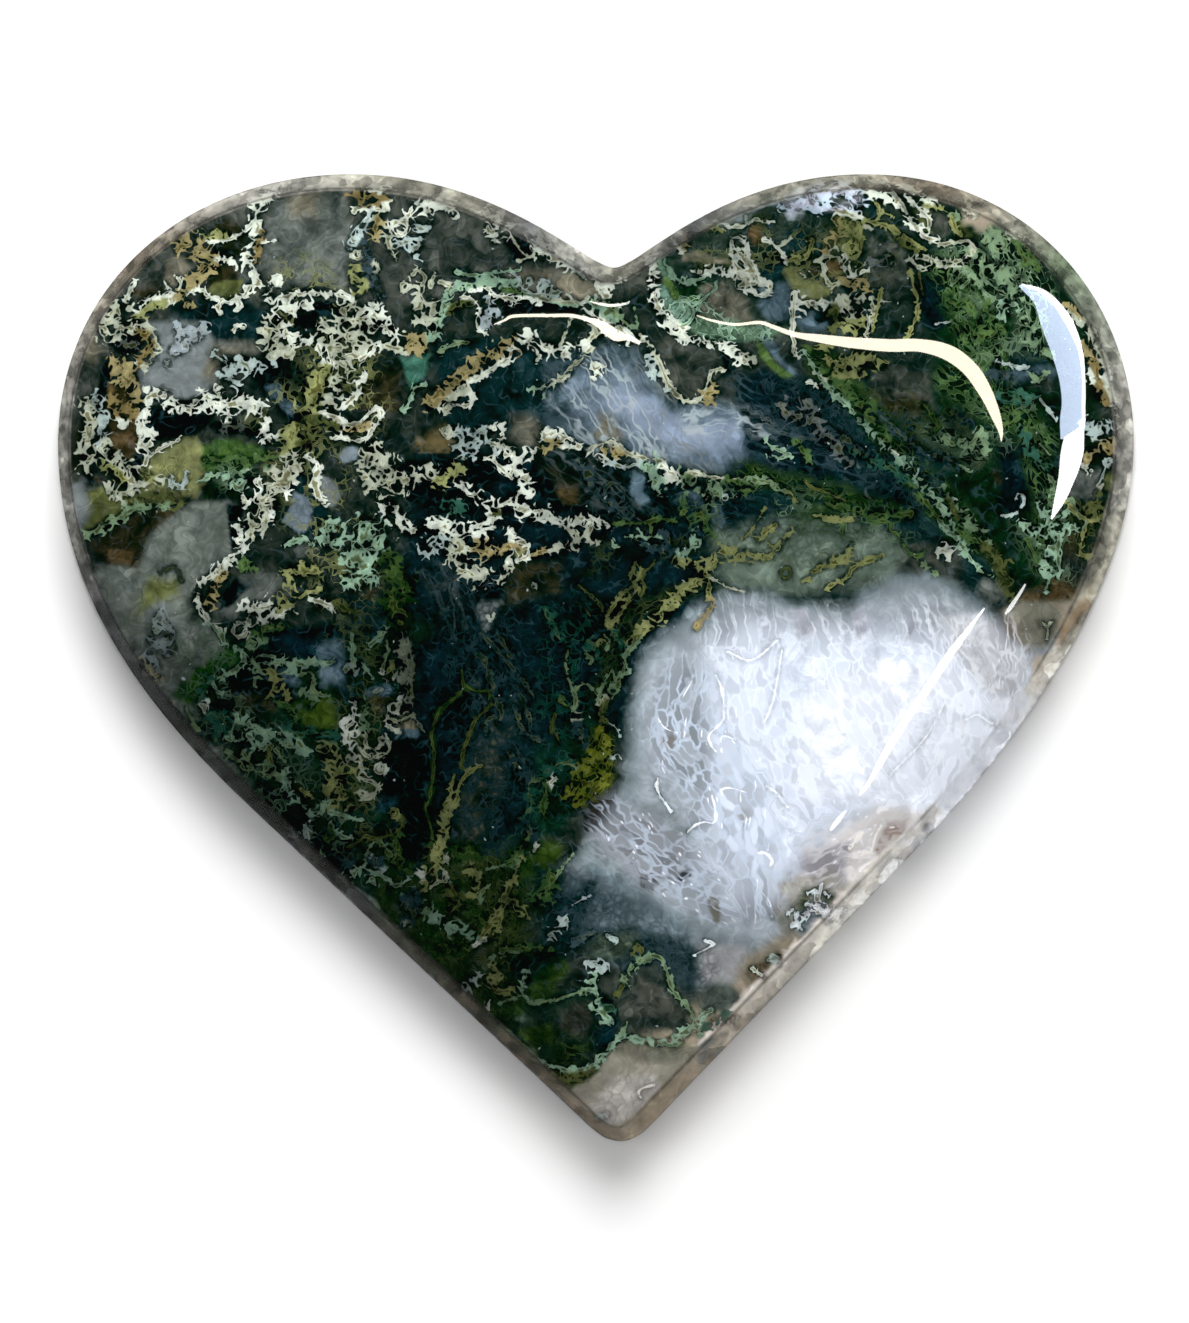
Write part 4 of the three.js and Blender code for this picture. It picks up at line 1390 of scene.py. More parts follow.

# %% [markdown]
# The wall is thin stone with light behind it. That light is painted into the wall's colour, so the wall looks
# paler than the top. These are its minerals round the edge with that painted glow, by the palette's names.
# Between two of them the colour changes evenly.

# %% Painted glow colours of the edge
RIM_GLOW_COLOURS = """
beige 140,270
cream 260,192
bone 400,184
bone 470,203
lilac 530,231
cream 580,264
bone 612,273
lilac 700,226
bone 760,200
bone 830,184
beige 930,195
bone 1010,230
sage 1060,270
cream 1120,400
cream 1118,500
bone 1110,530
bone 1075,620
white 1045,675
chalk 1000,735
chalk 940,805
cream 820,930
beige 720,1040
beige 615,1140
taupe 480,1030
grey 320,870
dusk 190,725
lilac 110,610
cream 62,470
cream 66,400
"""

# %% [markdown]
# The drawing is read back as plain measures. A stroke is a smooth line with a
# width that changes along it, and each place on the stone learns how deep it
# lies inside the nearest stroke. A patch tells how far a place lies inside
# its corners. Only places near a mark are measured for it, to save time.

# %% How deep a place lies in a mark
STEPS_PER_MARK = 6
FAR_OUTSIDE = -18.0  # pixels, a millimetre
NOWHERE = 1e6  # pixels, farther than any place
TINY = 1e-6
CLOUD_CELLS = 64  # random values in each direction before a cloud repeats
RING_MARKS = 9


def course(marks):
    """A smooth line through x, y and half width marks, as closely spaced points."""
    marks = np.array(marks, float).reshape(-1, 3)
    if len(marks) == 1:
        marks = np.vstack([marks, marks + [0.1, 0, 0]])
    ends = np.vstack([2 * marks[0] - marks[1], marks, 2 * marks[-1] - marks[-2]])
    shares = np.arange(STEPS_PER_MARK) / STEPS_PER_MARK
    steps = [between(ends[1:-2], share, ends[:-3], ends[2:-1], ends[3:]) for share in shares]
    return np.vstack([np.stack(steps, axis=1).reshape(-1, 3), marks[-1:]])


def near(pixels, marks, margin):
    """Which places lie in the box round a mark."""
    low, high = marks[:, :2].min(axis=0) - margin, marks[:, :2].max(axis=0) + margin
    return np.flatnonzero(((pixels > low) & (pixels < high)).all(axis=1))


def in_stroke(pixels, line):
    """How deep each place lies in a stroke, and how far along it and across it, in pixels."""
    depth = np.full(len(pixels), -NOWHERE)
    along, across = np.zeros(len(pixels)), np.zeros(len(pixels))
    travelled = 0.0
    for start, stop in zip(line[:-1], line[1:]):
        way = stop[:2] - start[:2]
        length = max(float(np.hypot(*way)), TINY)
        way = way / length
        offset = pixels - start[:2]
        walked = np.clip(offset @ way, 0, length)
        away = offset - walked[:, None] * way
        deep = start[2] + (stop[2] - start[2]) * walked / length - np.hypot(away[:, 0], away[:, 1])
        better = deep > depth
        depth[better] = deep[better]
        along[better] = travelled + walked[better]
        across[better] = (away[:, 1] * way[0] - away[:, 0] * way[1])[better]
        travelled += length
    return depth, along, across


def in_patch(pixels, corners):
    """How far each place lies inside a patch, negative outside it, in pixels."""
    distance = np.full(len(pixels), NOWHERE)
    inside = np.zeros(len(pixels), bool)
    for start, stop in zip(corners, np.roll(corners, -1, axis=0)):
        side = stop - start
        offset = pixels - start
        walked = np.clip(offset @ side / (side @ side), 0, 1)
        distance = np.minimum(distance, np.hypot(*(offset - walked[:, None] * side).T))
        crosses = (start[1] > pixels[:, 1]) != (stop[1] > pixels[:, 1])
        rise = side[1] if side[1] else TINY
        inside ^= crosses & (offset[:, 0] < offset[:, 1] * side[0] / rise)
    return np.where(inside, distance, -distance)


def smooth_step(value, low, high):
    """From 0 at low to 1 at high, with gentle ends."""
    share = np.clip((value - low) / (high - low), 0, 1)
    return share * share * (3 - 2 * share)


def cloud(places, size, seed):
    """Smooth random values between -1 and 1 that change over a given size."""
    lattice = np.random.default_rng(seed).uniform(-1, 1, (CLOUD_CELLS, CLOUD_CELLS))
    whole = np.floor(places / size).astype(int)
    share = places / size - whole
    share = share * share * (3 - 2 * share)
    corner = [[lattice[(whole[:, 0] + i) % CLOUD_CELLS, (whole[:, 1] + j) % CLOUD_CELLS] for j in (0, 1)]
              for i in (0, 1)]
    left = corner[0][0] * (1 - share[:, 1]) + corner[0][1] * share[:, 1]
    right = corner[1][0] * (1 - share[:, 1]) + corner[1][1] * share[:, 1]
    return left * (1 - share[:, 0]) + right * share[:, 0]


def ring(x, y, radius, half_width):
    """The marks of a small round loop."""
    turns = np.linspace(0, 2 * math.pi, RING_MARKS)
    return np.stack([x + radius * np.cos(turns), y + radius * np.sin(turns),
                     np.full(RING_MARKS, half_width)], axis=1)


def stroke(words, marks):
    """A stroke of the lace table: its colour, its share of holes and its course."""
    if "ring" in words:
        marks = ring(*marks[0])
    holes = [float(word) for word in words[1:] if word != "ring"]
    return tint(words[0]), sum(holes), course(marks)


lace_lines = [stroke(*entry) for text in LACE.values() for entry in entries(text)]
gap_dots = np.array([mark for _, marks in entries(GAPS) for mark in marks])
fibre_lines = [(words[0], tint(words[1]), float(words[2]), course(marks)) for words, marks in entries(FIBRES)]
patches = [(tint(words[0]), float(words[1]), corner_places)
           for text in PATCHES.values() for words, corner_places in entries(text)]
rim_glow_stops = [(tint(words[0]), place) for words, place in entries(RIM_GLOW_COLOURS)]
deep_places = [(float(words[0]), float(words[1]), corner_places) for words, corner_places in entries(DEEP)]
print(len(lace_lines), "lace strokes,", len(fibre_lines), "fibre strokes and", len(patches), "patches")

# %% [markdown]
# Now the mesh. The lattice is fine where a drawn edge passes and three times
# coarser elsewhere, and the thinnest threads get corners along their middle,
# so that no thread is lost between the corners of the lattice.

# %% Make the mesh
THREAD_HALF_WIDTH = 2.6  # pixels: thinner strokes get corners of their own
THREAD_SPACING = 0.13
EDGE_BAND = 4.0  # pixels on each side of a stroke's edge that are kept fine
PATCH_BAND = 3.0  # the same for a crisp patch
INSIDE_ONLY = 1  # Blender's word for triangles inside the loop alone
SAME_PLACE = 1e-7  # closer corners are joined
LATTICE_CLEARANCE = 0.6  # spacings between the lattice and the loop round it
THREAD_THINNING = 0.7  # spacings: closer corners of two threads become one
THREAD_CLEARANCE = 0.8  # spacings between a thread and the lattice


def thread_places():
    """Places along the middles of the thin strokes, in millimetres from above."""
    lines = [line for _, _, line in lace_lines if line[:, 2].min() < THREAD_HALF_WIDTH]
    rows = []
    for line in lines:
        travelled = np.concatenate([[0], np.cumsum(np.hypot(*np.diff(line[:, :2], axis=0).T))])
        stops = np.arange(0, travelled[-1], THREAD_SPACING * PIXELS_PER_MM)
        rows.append(np.stack([np.interp(stops, travelled, line[:, axis]) for axis in (0, 1)], axis=1))
    return under_picture(np.vstack(rows))


def spread_out(points, spacing):
    """The points without those that share a small cell with an earlier one."""
    _, first = np.unique(np.floor(points / spacing).astype(int), axis=0, return_index=True)
    return points[np.sort(first)]


def clear_of(points, taken, spacing):
    """The points that have none of the taken ones within about a spacing."""
    cells = {tuple(cell) for cell in np.floor(taken / spacing).astype(int)}
    near_cells = np.floor(points / spacing).astype(int)
    return points[[tuple(cell) not in cells for cell in near_cells]]


def near_an_edge(pixels):
    """Which places lie close to the edge of a stroke or of a crisp patch."""
    close = np.zeros(len(pixels), bool)
    for _, _, line in lace_lines:
        here = near(pixels, line, line[:, 2].max() + EDGE_BAND)
        here = here[~close[here]]
        depth, _, _ = in_stroke(pixels[here], line)
        close[here] = depth > -EDGE_BAND
    for _, soft, corner_places in patches:
        if soft <= PATCH_BAND:
            here = near(pixels, corner_places, PATCH_BAND)
            here = here[~close[here]]
            close[here] = np.abs(in_patch(pixels[here], corner_places)) < PATCH_BAND
    return close


def lattice_inside(loop, spacing, coarser=1):
    """Lattice points inside a loop, kept a little clear of it, and which of them are on every
    so many rows and columns."""
    low, high = loop.min(axis=0), loop.max(axis=0)
    columns = np.arange(math.ceil((high[0] - low[0]) / spacing))
    rows = np.arange(math.ceil((high[1] - low[1]) / (spacing * math.sqrt(3) / 2)))
    column, row = (grid.ravel() for grid in np.meshgrid(columns, rows))
    points = np.stack([low[0] + (column + row / 2) % len(columns) * spacing,
                       low[1] + row * spacing * math.sqrt(3) / 2], axis=1)
    sparse = (column % coarser == 0) & (row % coarser == 0)
    kept = within(points, loop, spacing * LATTICE_CLEARANCE)
    return points[kept], sparse[kept]


def filled(loop, points):
    """Triangles over a loop and the points inside it, as numbers into loop + points."""
    edges = [(i, (i + 1) % len(loop)) for i in range(len(loop))]
    places = np.vstack([loop, points]).tolist()
    _, _, faces, origins, _, _ = delaunay_2d_cdt(places, edges, [], INSIDE_ONLY, SAME_PLACE)
    return np.array([[origins[corner][0] for corner in face] for face in faces])


lattice, sparse = lattice_inside(above_rim[:, :2], TOP_SPACING, COARSER)
fine = near_an_edge(in_picture(on_dome(lattice)))
lattice = lattice[fine | sparse]
threads = spread_out(thread_places(), THREAD_SPACING * THREAD_THINNING)
threads = threads[within(threads, above_rim[:, :2], THREAD_SPACING)]
lattice = clear_of(lattice, threads, THREAD_SPACING * THREAD_CLEARANCE)
top_points = np.vstack([threads, lattice])
back_points, _ = lattice_inside(on_back[:, :2], BACK_SPACING)

ring_corners = np.vstack(rings)
last_ring = len(ring_corners) - AROUND
first_top = len(ring_corners)
first_back = first_top + len(top_points)
corners = np.vstack([ring_corners, on_dome(top_points),
                     np.column_stack([back_points, np.zeros(len(back_points))])])

step_round = (np.arange(AROUND) + 1) % AROUND
band = np.stack([np.arange(AROUND), step_round, step_round + AROUND, np.arange(AROUND) + AROUND], axis=1)
quads = np.vstack([band + ring * AROUND for ring in range(len(rings) - 1)])
top_faces = filled(above_rim[:, :2], top_points)
top_faces = np.where(top_faces < AROUND, top_faces + last_ring, top_faces - AROUND + first_top)
back_faces = filled(on_back[:, :2], back_points)[:, ::-1]
back_faces = np.where(back_faces < AROUND, back_faces, back_faces - AROUND + first_back)

mesh = bpy.data.meshes.new("polished_heart")
mesh.from_pydata((corners * MM).tolist(), [], quads.tolist() + top_faces.tolist() + back_faces.tolist())
mesh.shade_smooth()
stone = bpy.data.objects.new("polished_heart", mesh)
bpy.context.scene.collection.objects.link(stone)
triangles = 2 * len(quads) + len(top_faces) + len(back_faces)
print(triangles, "triangles,", len(top_points), "corners on the top,", len(threads), "of them on threads")

# %% [markdown]
# Every corner of the mesh now learns its colour and its place among the
# marks. The patches' edges are bent a little by smooth chance, because no
# mineral ends in a straight line. The back shows the same minerals cut
# elsewhere, so it reads the drawing turned and a little enlarged.

# %% Paint the corners
MASSES = ("moss", "veil", "crust", "crystal")
BEND_SIZE, BEND = 17.0, 3.2  # pixels
HALO, HALO_SHADE = 5.0, 0.55  # how wide in pixels, and how dark, the painted shade round the lace is
NARROWEST_FRILL, WIDEST_FRILL = 0.06, 0.4  # how far the lace's edge wanders, in millimetres
GRAIN_STEP = 7.3  # sets the patterns of two strokes apart
BACK_TURN = math.radians(200)
BACK_SCALE = np.array([0.72, 0.648])  # across and upwards
RIM_TOLERANCE = 0.01
WALL_TOP, WALL_LOW = 1.4, 0.5  # the top's drawing runs down the wall between these heights


def painted(pixels):
    """All the measures of places in the picture, each as an array."""
    count = len(pixels)
    bent = pixels + BEND * np.stack([cloud(pixels, BEND_SIZE, 1), cloud(pixels, BEND_SIZE, 2)], axis=1)
    ground = np.tile(tint("dusk"), (count, 1))
    for colour, soft, corner_places in patches:
        here = near(bent, corner_places, soft)
        share = smooth_step(in_patch(bent[here], corner_places), -soft / 2, soft / 2)[:, None]
        ground[here] = ground[here] * (1 - share) + colour * share

    lace = np.full(count, FAR_OUTSIDE)
    lace_tint = np.tile(tint("bone"), (count, 1))
    holes, width = np.zeros(count), np.zeros(count)
    for colour, holed, line in lace_lines:
        here = near(pixels, line, line[:, 2].max() - FAR_OUTSIDE)
        depth, _, _ = in_stroke(pixels[here], line)
        better = depth > lace[here]
        here, depth = here[better], depth[better]
        lace[here] = depth
        lace_tint[here] = colour
        holes[here] = holed
        width[here] = line[:, 2].mean()
    for x, y, radius in gap_dots:
        lace = np.minimum(lace, np.hypot(pixels[:, 0] - x, pixels[:, 1] - y) - radius)
    lace = np.maximum(lace, FAR_OUTSIDE)

    fibre = {kind: np.zeros(count) for kind in MASSES}
    fibre_tint = {kind: np.tile(tint("moss"), (count, 1)) for kind in MASSES}
    grain = np.zeros((count, 3))
    grain_weight = np.zeros(count)
    for number, (kind, colour, weight, line) in enumerate(fibre_lines):
        here = near(bent, line, line[:, 2].max())
        depth, along, across = in_stroke(bent[here], line)
        share = weight * smooth_step(depth / line[:, 2].mean(), 0, 0.7)
        better = share > fibre[kind][here]
        fibre[kind][here[better]] = share[better]
        fibre_tint[kind][here[better]] = colour
        better = share > grain_weight[here]
        grain_weight[here[better]] = share[better]
        course_of_grain = np.stack([along / PIXELS_PER_MM, across / PIXELS_PER_MM,
                                    np.full(len(here), number * GRAIN_STEP)], axis=1)
        grain[here[better]] = course_of_grain[better]

    # Painted shade: the ground is darkened close round the lace, but not in the quartz.
    dark = HALO_SHADE * smooth_step(lace, -HALO, 0) * (lace < 0) * (1 - fibre["crystal"])
    ground *= (1 - dark)[:, None]
    for left, soft, corner_places in deep_places:
        share = smooth_step(in_patch(bent, corner_places), -soft / 2, soft / 2)[:, None]
        lace_tint *= 1 - share * (1 - left)
        for kind in ("moss", "veil", "crust"):
            fibre_tint[kind] *= 1 - share * (1 - left)
    masses = {kind: fibre[kind] for kind in MASSES}
    tints = {f"{kind}_tint": fibre_tint[kind] for kind in MASSES}
    return {"ground": ground, "lace": lace / PIXELS_PER_MM, "lace_tint": lace_tint, "lace_holes": holes,
            "frill": np.clip(width / PIXELS_PER_MM, NARROWEST_FRILL, WIDEST_FRILL),
            **masses, **tints, "grain": grain}


def turned(points):
    """Where the back's places lie in the drawing."""
    cos, sin = math.cos(BACK_TURN), math.sin(BACK_TURN)
    offset = points[:, :2] - HUB
    place = HUB + np.stack([cos * offset[:, 0] + sin * offset[:, 1],
                            sin * offset[:, 0] - cos * offset[:, 1]], axis=1) * BACK_SCALE
    return ORIGIN_IN_PICTURE + place * [1, -1] * PIXELS_PER_MM


front, behind = painted(in_picture(corners)), painted(turned(corners))
front_share = smooth_step(corners[:, 2], WALL_LOW, WALL_TOP)
looks = {}
for name, values in front.items():
    share = front_share.reshape((-1,) + (1,) * (values.ndim - 1))
    looks[name] = values * share + behind[name] * (1 - share)
for name in MASSES:
    looks[name] *= np.abs(2 * front_share - 1)  # the grain changes over where no mass shows
looks["grain"] = np.where(front_share[:, None] > 0.5, front["grain"], behind["grain"])
on_top = corners[:, 2] >= RIM_HEIGHT - RIM_TOLERANCE
rim_depth = corners[:, 2] - RIM_HEIGHT
rim_depth[on_top] = smooth_distance(corners[on_top, :2])
looks["rim"] = rim_depth
stop_turns = np.array([turn_round_hub(under_picture(place))[0] for _, place in rim_glow_stops])
order = np.argsort(stop_turns)
corner_turns = turn_round_hub(corners[:, :2])
looks["rim_tint"] = np.stack([
    np.interp(corner_turns, stop_turns[order], channel, period=2 * math.pi)
    for channel in np.array([colour for colour, _ in rim_glow_stops])[order].T], axis=1)
KINDS = {1: ("FLOAT", "value"), 3: ("FLOAT_VECTOR", "vector"), 4: ("FLOAT_COLOR", "color")}
channels = {}
for name, values in looks.items():
    values = values.reshape(len(corners), -1)
    if name == "ground" or name.endswith("tint"):
        values = np.column_stack([values, np.ones(len(corners))])
    channels[name] = values.shape[1]
    kind, field = KINDS[channels[name]]
    attribute = mesh.attributes.new(name, kind, "POINT")
    attribute.data.foreach_set(field, values.astype(np.float32).ravel())
print("painted", ", ".join(looks))

# %% [markdown]
# The material reads those measures. Where the drawing gives only a mass, fine
# noise in real millimetres gives the rest: frilled edges and holes for the
# lace, strands for the moss, a net of light lines for the veils.

# %% One function for the nodes
def add(tree, kind, inputs=(), output=0, **settings):
    """Adds a node with its settings, values and links, and returns one of its outputs."""
    new = tree.nodes.new("ShaderNode" + kind)
    for name, value in settings.items():
        setattr(new, name, value)
    shown = [socket for socket in new.inputs if socket.enabled]
    for key, value in dict(inputs).items():
        socket = shown[key] if isinstance(key, int) else next(s for s in shown if s.name == key)
        if isinstance(value, bpy.types.NodeSocket):
            tree.links.new(value, socket)
        else:
            socket.default_value = value
    return [socket for socket in new.outputs if socket.enabled][output]


# %% [markdown]
# Each pattern's size is a real one: facets two millimetres across, strands of
# moss a third of a millimetre apart, bubbles a little wider. They stand
# together here, so that a coarser or a finer stone needs only these changed.

# %% Sizes of the patterns
PER_MM = {  # cells or waves to a millimetre
    "wave": 1.3,
    "crinkle": 2.0,
    "facet": 0.5,
    "chip": 1.7,
    "cloud": 1.0,
    "fold": 0.55,
    "thin line": 1.5,
    "patch": 1.4,
    "crust thread": 2.2,
    "crust cloud": 0.7,
    "curl": 2.3,
    "swelling": 2.1,
    "knob": 2.9,
    "bubble": 2.6,
    "speck": 0.9,
    "rim facet": 0.95,
}
CLOUD_IN_FIBRES = 0.8  # clouds to a cell of the fibres' own pattern
DEPTH_SHARE = 0.2  # below 1, the patterns are drawn out through the thickness
WAVE, CRINKLE = 0.45, 0.3  # how far they bend the other patterns, in millimetres
MOST_CELLS = {"From Min": 0.25, "From Max": 0.75}  # where most cells' random values lie
SMOOTH = "SMOOTHSTEP"

# %% The stone's material
# Chalcedony, sawn, ground and polished: glassy, and nearly black where it is thick and clear.
agate = bpy.data.materials.new("polished moss agate")
agate.use_nodes = True
tree = agate.node_tree
tree.nodes.clear()
place = add(tree, "TexCoord", output=3)
mm = add(tree, "VectorMath", {0: place, 1: (1 / MM, 1 / MM, DEPTH_SHARE / MM)}, operation="MULTIPLY")
waver = add(tree, "TexNoise", {"Vector": mm, "Scale": PER_MM["wave"], "Detail": 1.0}, output=1)
wavy = add(tree, "VectorMath", {0: waver, 1: (WAVE,) * 3, 2: mm}, operation="MULTIPLY_ADD")
crinkle = add(tree, "TexNoise", {"Vector": mm, "Scale": PER_MM["crinkle"], "Detail": 0.0}, output=1)
crinkled = add(tree, "VectorMath", {0: crinkle, 1: (CRINKLE,) * 3, 2: wavy}, operation="MULTIPLY_ADD")
ATTRIBUTE_OUTPUTS = {1: 2, 3: 1, 4: 0}  # for a value, a vector and a colour
measure = {name: add(tree, "Attribute", attribute_name=name, output=ATTRIBUTE_OUTPUTS[channels[name]])
           for name in looks}


def along_grain(along, across, bend):
    """A place in the fibres' own pattern, with so many cells to a millimetre each way."""
    scale = (along, across, 1.0)
    return add(tree, "VectorMath", {0: measure["grain"], 1: scale, 2: bend}, operation="MULTIPLY_ADD")


def from_middle(noise):
    """How far a noise is from its middle value, which it takes along thin curling lines."""
    offset = add(tree, "Math", {0: noise, 1: 0.5}, operation="SUBTRACT")
    return add(tree, "Math", {0: offset}, operation="ABSOLUTE")


print(len(measure), "measures read from the mesh")

# %% [markdown]
# The ground first: chalcedony in crisp angular facets, large and small, each
# a little lighter or darker, with a cloudiness in them and tiny white specks.

# %% Ground colour
FOLD_LINES = 9.0  # steps of light across the whole range of the noise
EYE_SHARES = (0.3, 0.6, 0.1)  # how light red, green and blue each look
THIN_LINE_LIGHT = 0.35
facet = add(tree, "TexVoronoi", {"Vector": wavy, "Scale": PER_MM["facet"]}, output=1)
facet_light = add(tree, "MapRange", {"Value": facet, **MOST_CELLS, "To Min": 0.65, "To Max": 1.3})
chip = add(tree, "TexVoronoi", {"Vector": crinkled, "Scale": PER_MM["chip"]}, output=1)
chip_light = add(tree, "MapRange", {"Value": chip, **MOST_CELLS, "To Min": 0.85, "To Max": 1.15})
cloudy = add(tree, "TexNoise", {"Vector": wavy, "Scale": PER_MM["cloud"], "Detail": 3.0})
cloud_light = add(tree, "MapRange", {
    "Value": cloudy, "From Min": 0.32, "From Max": 0.68, "To Min": 0.35, "To Max": 2.0})
fold = add(tree, "TexNoise", {"Vector": wavy, "Scale": PER_MM["fold"], "Detail": 1.0})
fold = add(tree, "Math", {0: fold, 1: FOLD_LINES}, operation="MULTIPLY")
fold = add(tree, "Math", {0: fold}, operation="FRACT")
fold_light = add(tree, "MapRange", {"Value": fold, "To Min": 0.7, "To Max": 1.3})
thin = add(tree, "TexNoise", {"Vector": crinkled, "Scale": PER_MM["thin line"], "Detail": 0.0})
thin = from_middle(thin)
thin_line = add(tree, "MapRange", {
    "Value": thin, "From Min": 0.015, "From Max": 0.06, "To Min": 1.0, "To Max": 0.0},
    interpolation_type=SMOOTH)
ground_light = facet_light
for light in (cloud_light, fold_light, chip_light):
    ground_light = add(tree, "Math", {0: ground_light, 1: light}, operation="MULTIPLY")
calm = add(tree, "MapRange", {"Value": measure["crystal"], "From Max": 0.5})
lightness = add(tree, "VectorMath", {0: measure["ground"], 1: EYE_SHARES}, operation="DOT_PRODUCT")
even = add(tree, "MapRange", {"Value": lightness, "From Min": 0.02, "From Max": 0.16, "To Max": 0.75})
even = add(tree, "Math", {0: even, 1: calm}, operation="MAXIMUM")
ground_light = add(tree, "Mix", {"Factor": even, "A": ground_light, "B": 1.0})
colour = add(tree, "VectorMath", {0: measure["ground"], "Scale": ground_light}, operation="SCALE")
uneven = add(tree, "TexNoise", {"Vector": mm, "Scale": PER_MM["patch"], "Detail": 2.0})
thin_near = add(tree, "MapRange", {"Value": uneven, "From Min": 0.42, "From Max": 0.6})
for share in (thin_near, THIN_LINE_LIGHT):
    thin_line = add(tree, "Math", {0: thin_line, 1: share}, operation="MULTIPLY")
thin_colour = add(tree, "VectorMath", {0: tuple(tint("steel")), "Scale": thin_line}, operation="SCALE")
colour = add(tree, "VectorMath", {0: colour, 1: thin_colour}, operation="ADD")
print(len(tree.nodes), "nodes with the ground")

# %% [markdown]
# The pocket of quartz is a mass of small upright crystals, seen as paler and
# darker faces with bright seams between them. A Voronoi pattern gives the
# faces, and its walls give the seams. Modelling each crystal would be far
# slower and would show no better under the polish.

# %% Quartz crystals
CRYSTALS_PER_MM = (0.95, 2.1)  # along the grain and across it
DASHES_PER_MM = (0.9, 4.2)
crystal_place = along_grain(*CRYSTALS_PER_MM, waver)
crystal_face = add(tree, "TexVoronoi", {"Vector": crystal_place, "Scale": 1.0}, output=1)
crystal_light = add(tree, "MapRange", {"Value": crystal_face, **MOST_CELLS, "To Min": 0.66, "To Max": 1.08})
crystal_seam = add(tree, "TexVoronoi", {"Vector": crystal_place, "Scale": 1.0}, feature="DISTANCE_TO_EDGE")
crystal_line = add(tree, "MapRange", {
    "Value": crystal_seam, "From Min": 0.03, "From Max": 0.16, "To Min": 1.0, "To Max": 0.0},
    interpolation_type=SMOOTH)
crystal_cloud = add(tree, "MapRange", {
    "Value": cloudy, "From Min": 0.38, "From Max": 0.55, "To Min": 0.25, "To Max": 0.85})
crystal_share = crystal_line
for share in (crystal_cloud, measure["crystal"]):
    crystal_share = add(tree, "Math", {0: crystal_share, 1: share}, operation="MULTIPLY")
crystal_light = add(tree, "Mix", {"Factor": measure["crystal"], "A": 1.0, "B": crystal_light})
colour = add(tree, "VectorMath", {0: colour, "Scale": crystal_light}, operation="SCALE")
colour = add(tree, "Mix", {
    "Factor": crystal_share, "A": colour, "B": measure["crystal_tint"]}, data_type="RGBA")

dash_place = along_grain(*DASHES_PER_MM, wavy)
dash = add(tree, "TexVoronoi", {"Vector": dash_place, "Scale": 1.0})
dash_here = add(tree, "MapRange", {
    "Value": dash, "From Min": 0.12, "From Max": 0.26, "To Min": 1.0, "To Max": 0.0},
    interpolation_type=SMOOTH)
dash_kept = add(tree, "MapRange", {
    "Value": dash.node.outputs["Color"], "From Min": 0.5, "From Max": 0.6, "To Max": 0.8})
for share in (dash_kept, measure["crystal"]):
    dash_here = add(tree, "Math", {0: dash_here, 1: share}, operation="MULTIPLY")
colour = add(tree, "Mix", {"Factor": dash_here, "A": colour, "B": (*tint("chalk"), 1.0)}, data_type="RGBA")
print(len(tree.nodes), "nodes with the quartz")

# %% [markdown]
# A veil is a thin curtain of milky chalcedony in the dark stone. It is drawn
# like the quartz, with longer cells, and only its seams catch the light.

# %% Veils
VEIL_CELLS_PER_MM = (0.5, 2.1)
veil_place = along_grain(*VEIL_CELLS_PER_MM, waver)
veil_cells = add(tree, "TexVoronoi", {"Vector": veil_place, "Scale": 1.0}, feature="DISTANCE_TO_EDGE")
veil_line = add(tree, "MapRange", {
    "Value": veil_cells, "From Min": 0.03, "From Max": 0.15, "To Min": 1.0, "To Max": 0.08},
    interpolation_type=SMOOTH)
veil_cloud = add(tree, "TexNoise", {"Vector": veil_place, "Scale": CLOUD_IN_FIBRES, "Detail": 4.0})
veil_dense = add(tree, "MapRange", {
    "Value": veil_cloud, "From Min": 0.38, "From Max": 0.58, "To Min": 0.1, "To Max": 1.0})
veil_share = veil_line
for share in (veil_dense, measure["veil"]):
    veil_share = add(tree, "Math", {0: veil_share, 1: share}, operation="MULTIPLY")
colour = add(tree, "Mix", {"Factor": veil_share, "A": colour, "B": measure["veil_tint"]}, data_type="RGBA")
print(len(tree.nodes), "nodes with the veils")

# %% [markdown]
# Moss and crust are nets of fine threads. The walls between the cells of a
# Voronoi pattern make a net, and noise lets it swell, thin out and break.

# %% Moss
MOSS_CELLS_PER_MM = (1.5, 2.9)
UNDER_MOSS, UNDER_MOSS_LIGHT = 0.8, 0.5  # the darker green between the strands
moss_place = along_grain(*MOSS_CELLS_PER_MM, crinkle)
moss_cells = add(tree, "TexVoronoi", {"Vector": moss_place, "Scale": 1.0}, feature="DISTANCE_TO_EDGE")
moss_cloud = add(tree, "TexNoise", {"Vector": moss_place, "Scale": CLOUD_IN_FIBRES, "Detail": 1.0})
moss_mass = add(tree, "MapRange", {
    "Value": moss_cloud, "From Min": 0.36, "From Max": 0.62, "To Min": 0.0, "To Max": 0.21})
moss_line = add(tree, "Math", {0: moss_mass, 1: moss_cells}, operation="SUBTRACT")
moss_strand = add(tree, "MapRange", {
    "Value": moss_line, "From Min": -0.03, "From Max": 0.02}, interpolation_type=SMOOTH)
under_moss = add(tree, "Math", {0: measure["moss"], 1: UNDER_MOSS}, operation="MULTIPLY")
colour = add(tree, "Mix", {
    "Factor": under_moss, "A": colour, "B": (*(tint("pine") * UNDER_MOSS_LIGHT), 1.0)}, data_type="RGBA")
moss_share = add(tree, "Math", {0: moss_strand, 1: measure["moss"]}, operation="MULTIPLY")
thread_light = add(tree, "MapRange", {
    "Value": uneven, "From Min": 0.33, "From Max": 0.67, "To Min": 0.5, "To Max": 1.4})
moss_edge = add(tree, "MapRange", {
    "Value": moss_line, "From Min": 0.0, "From Max": 0.1, "To Min": 1.4, "To Max": 0.5})
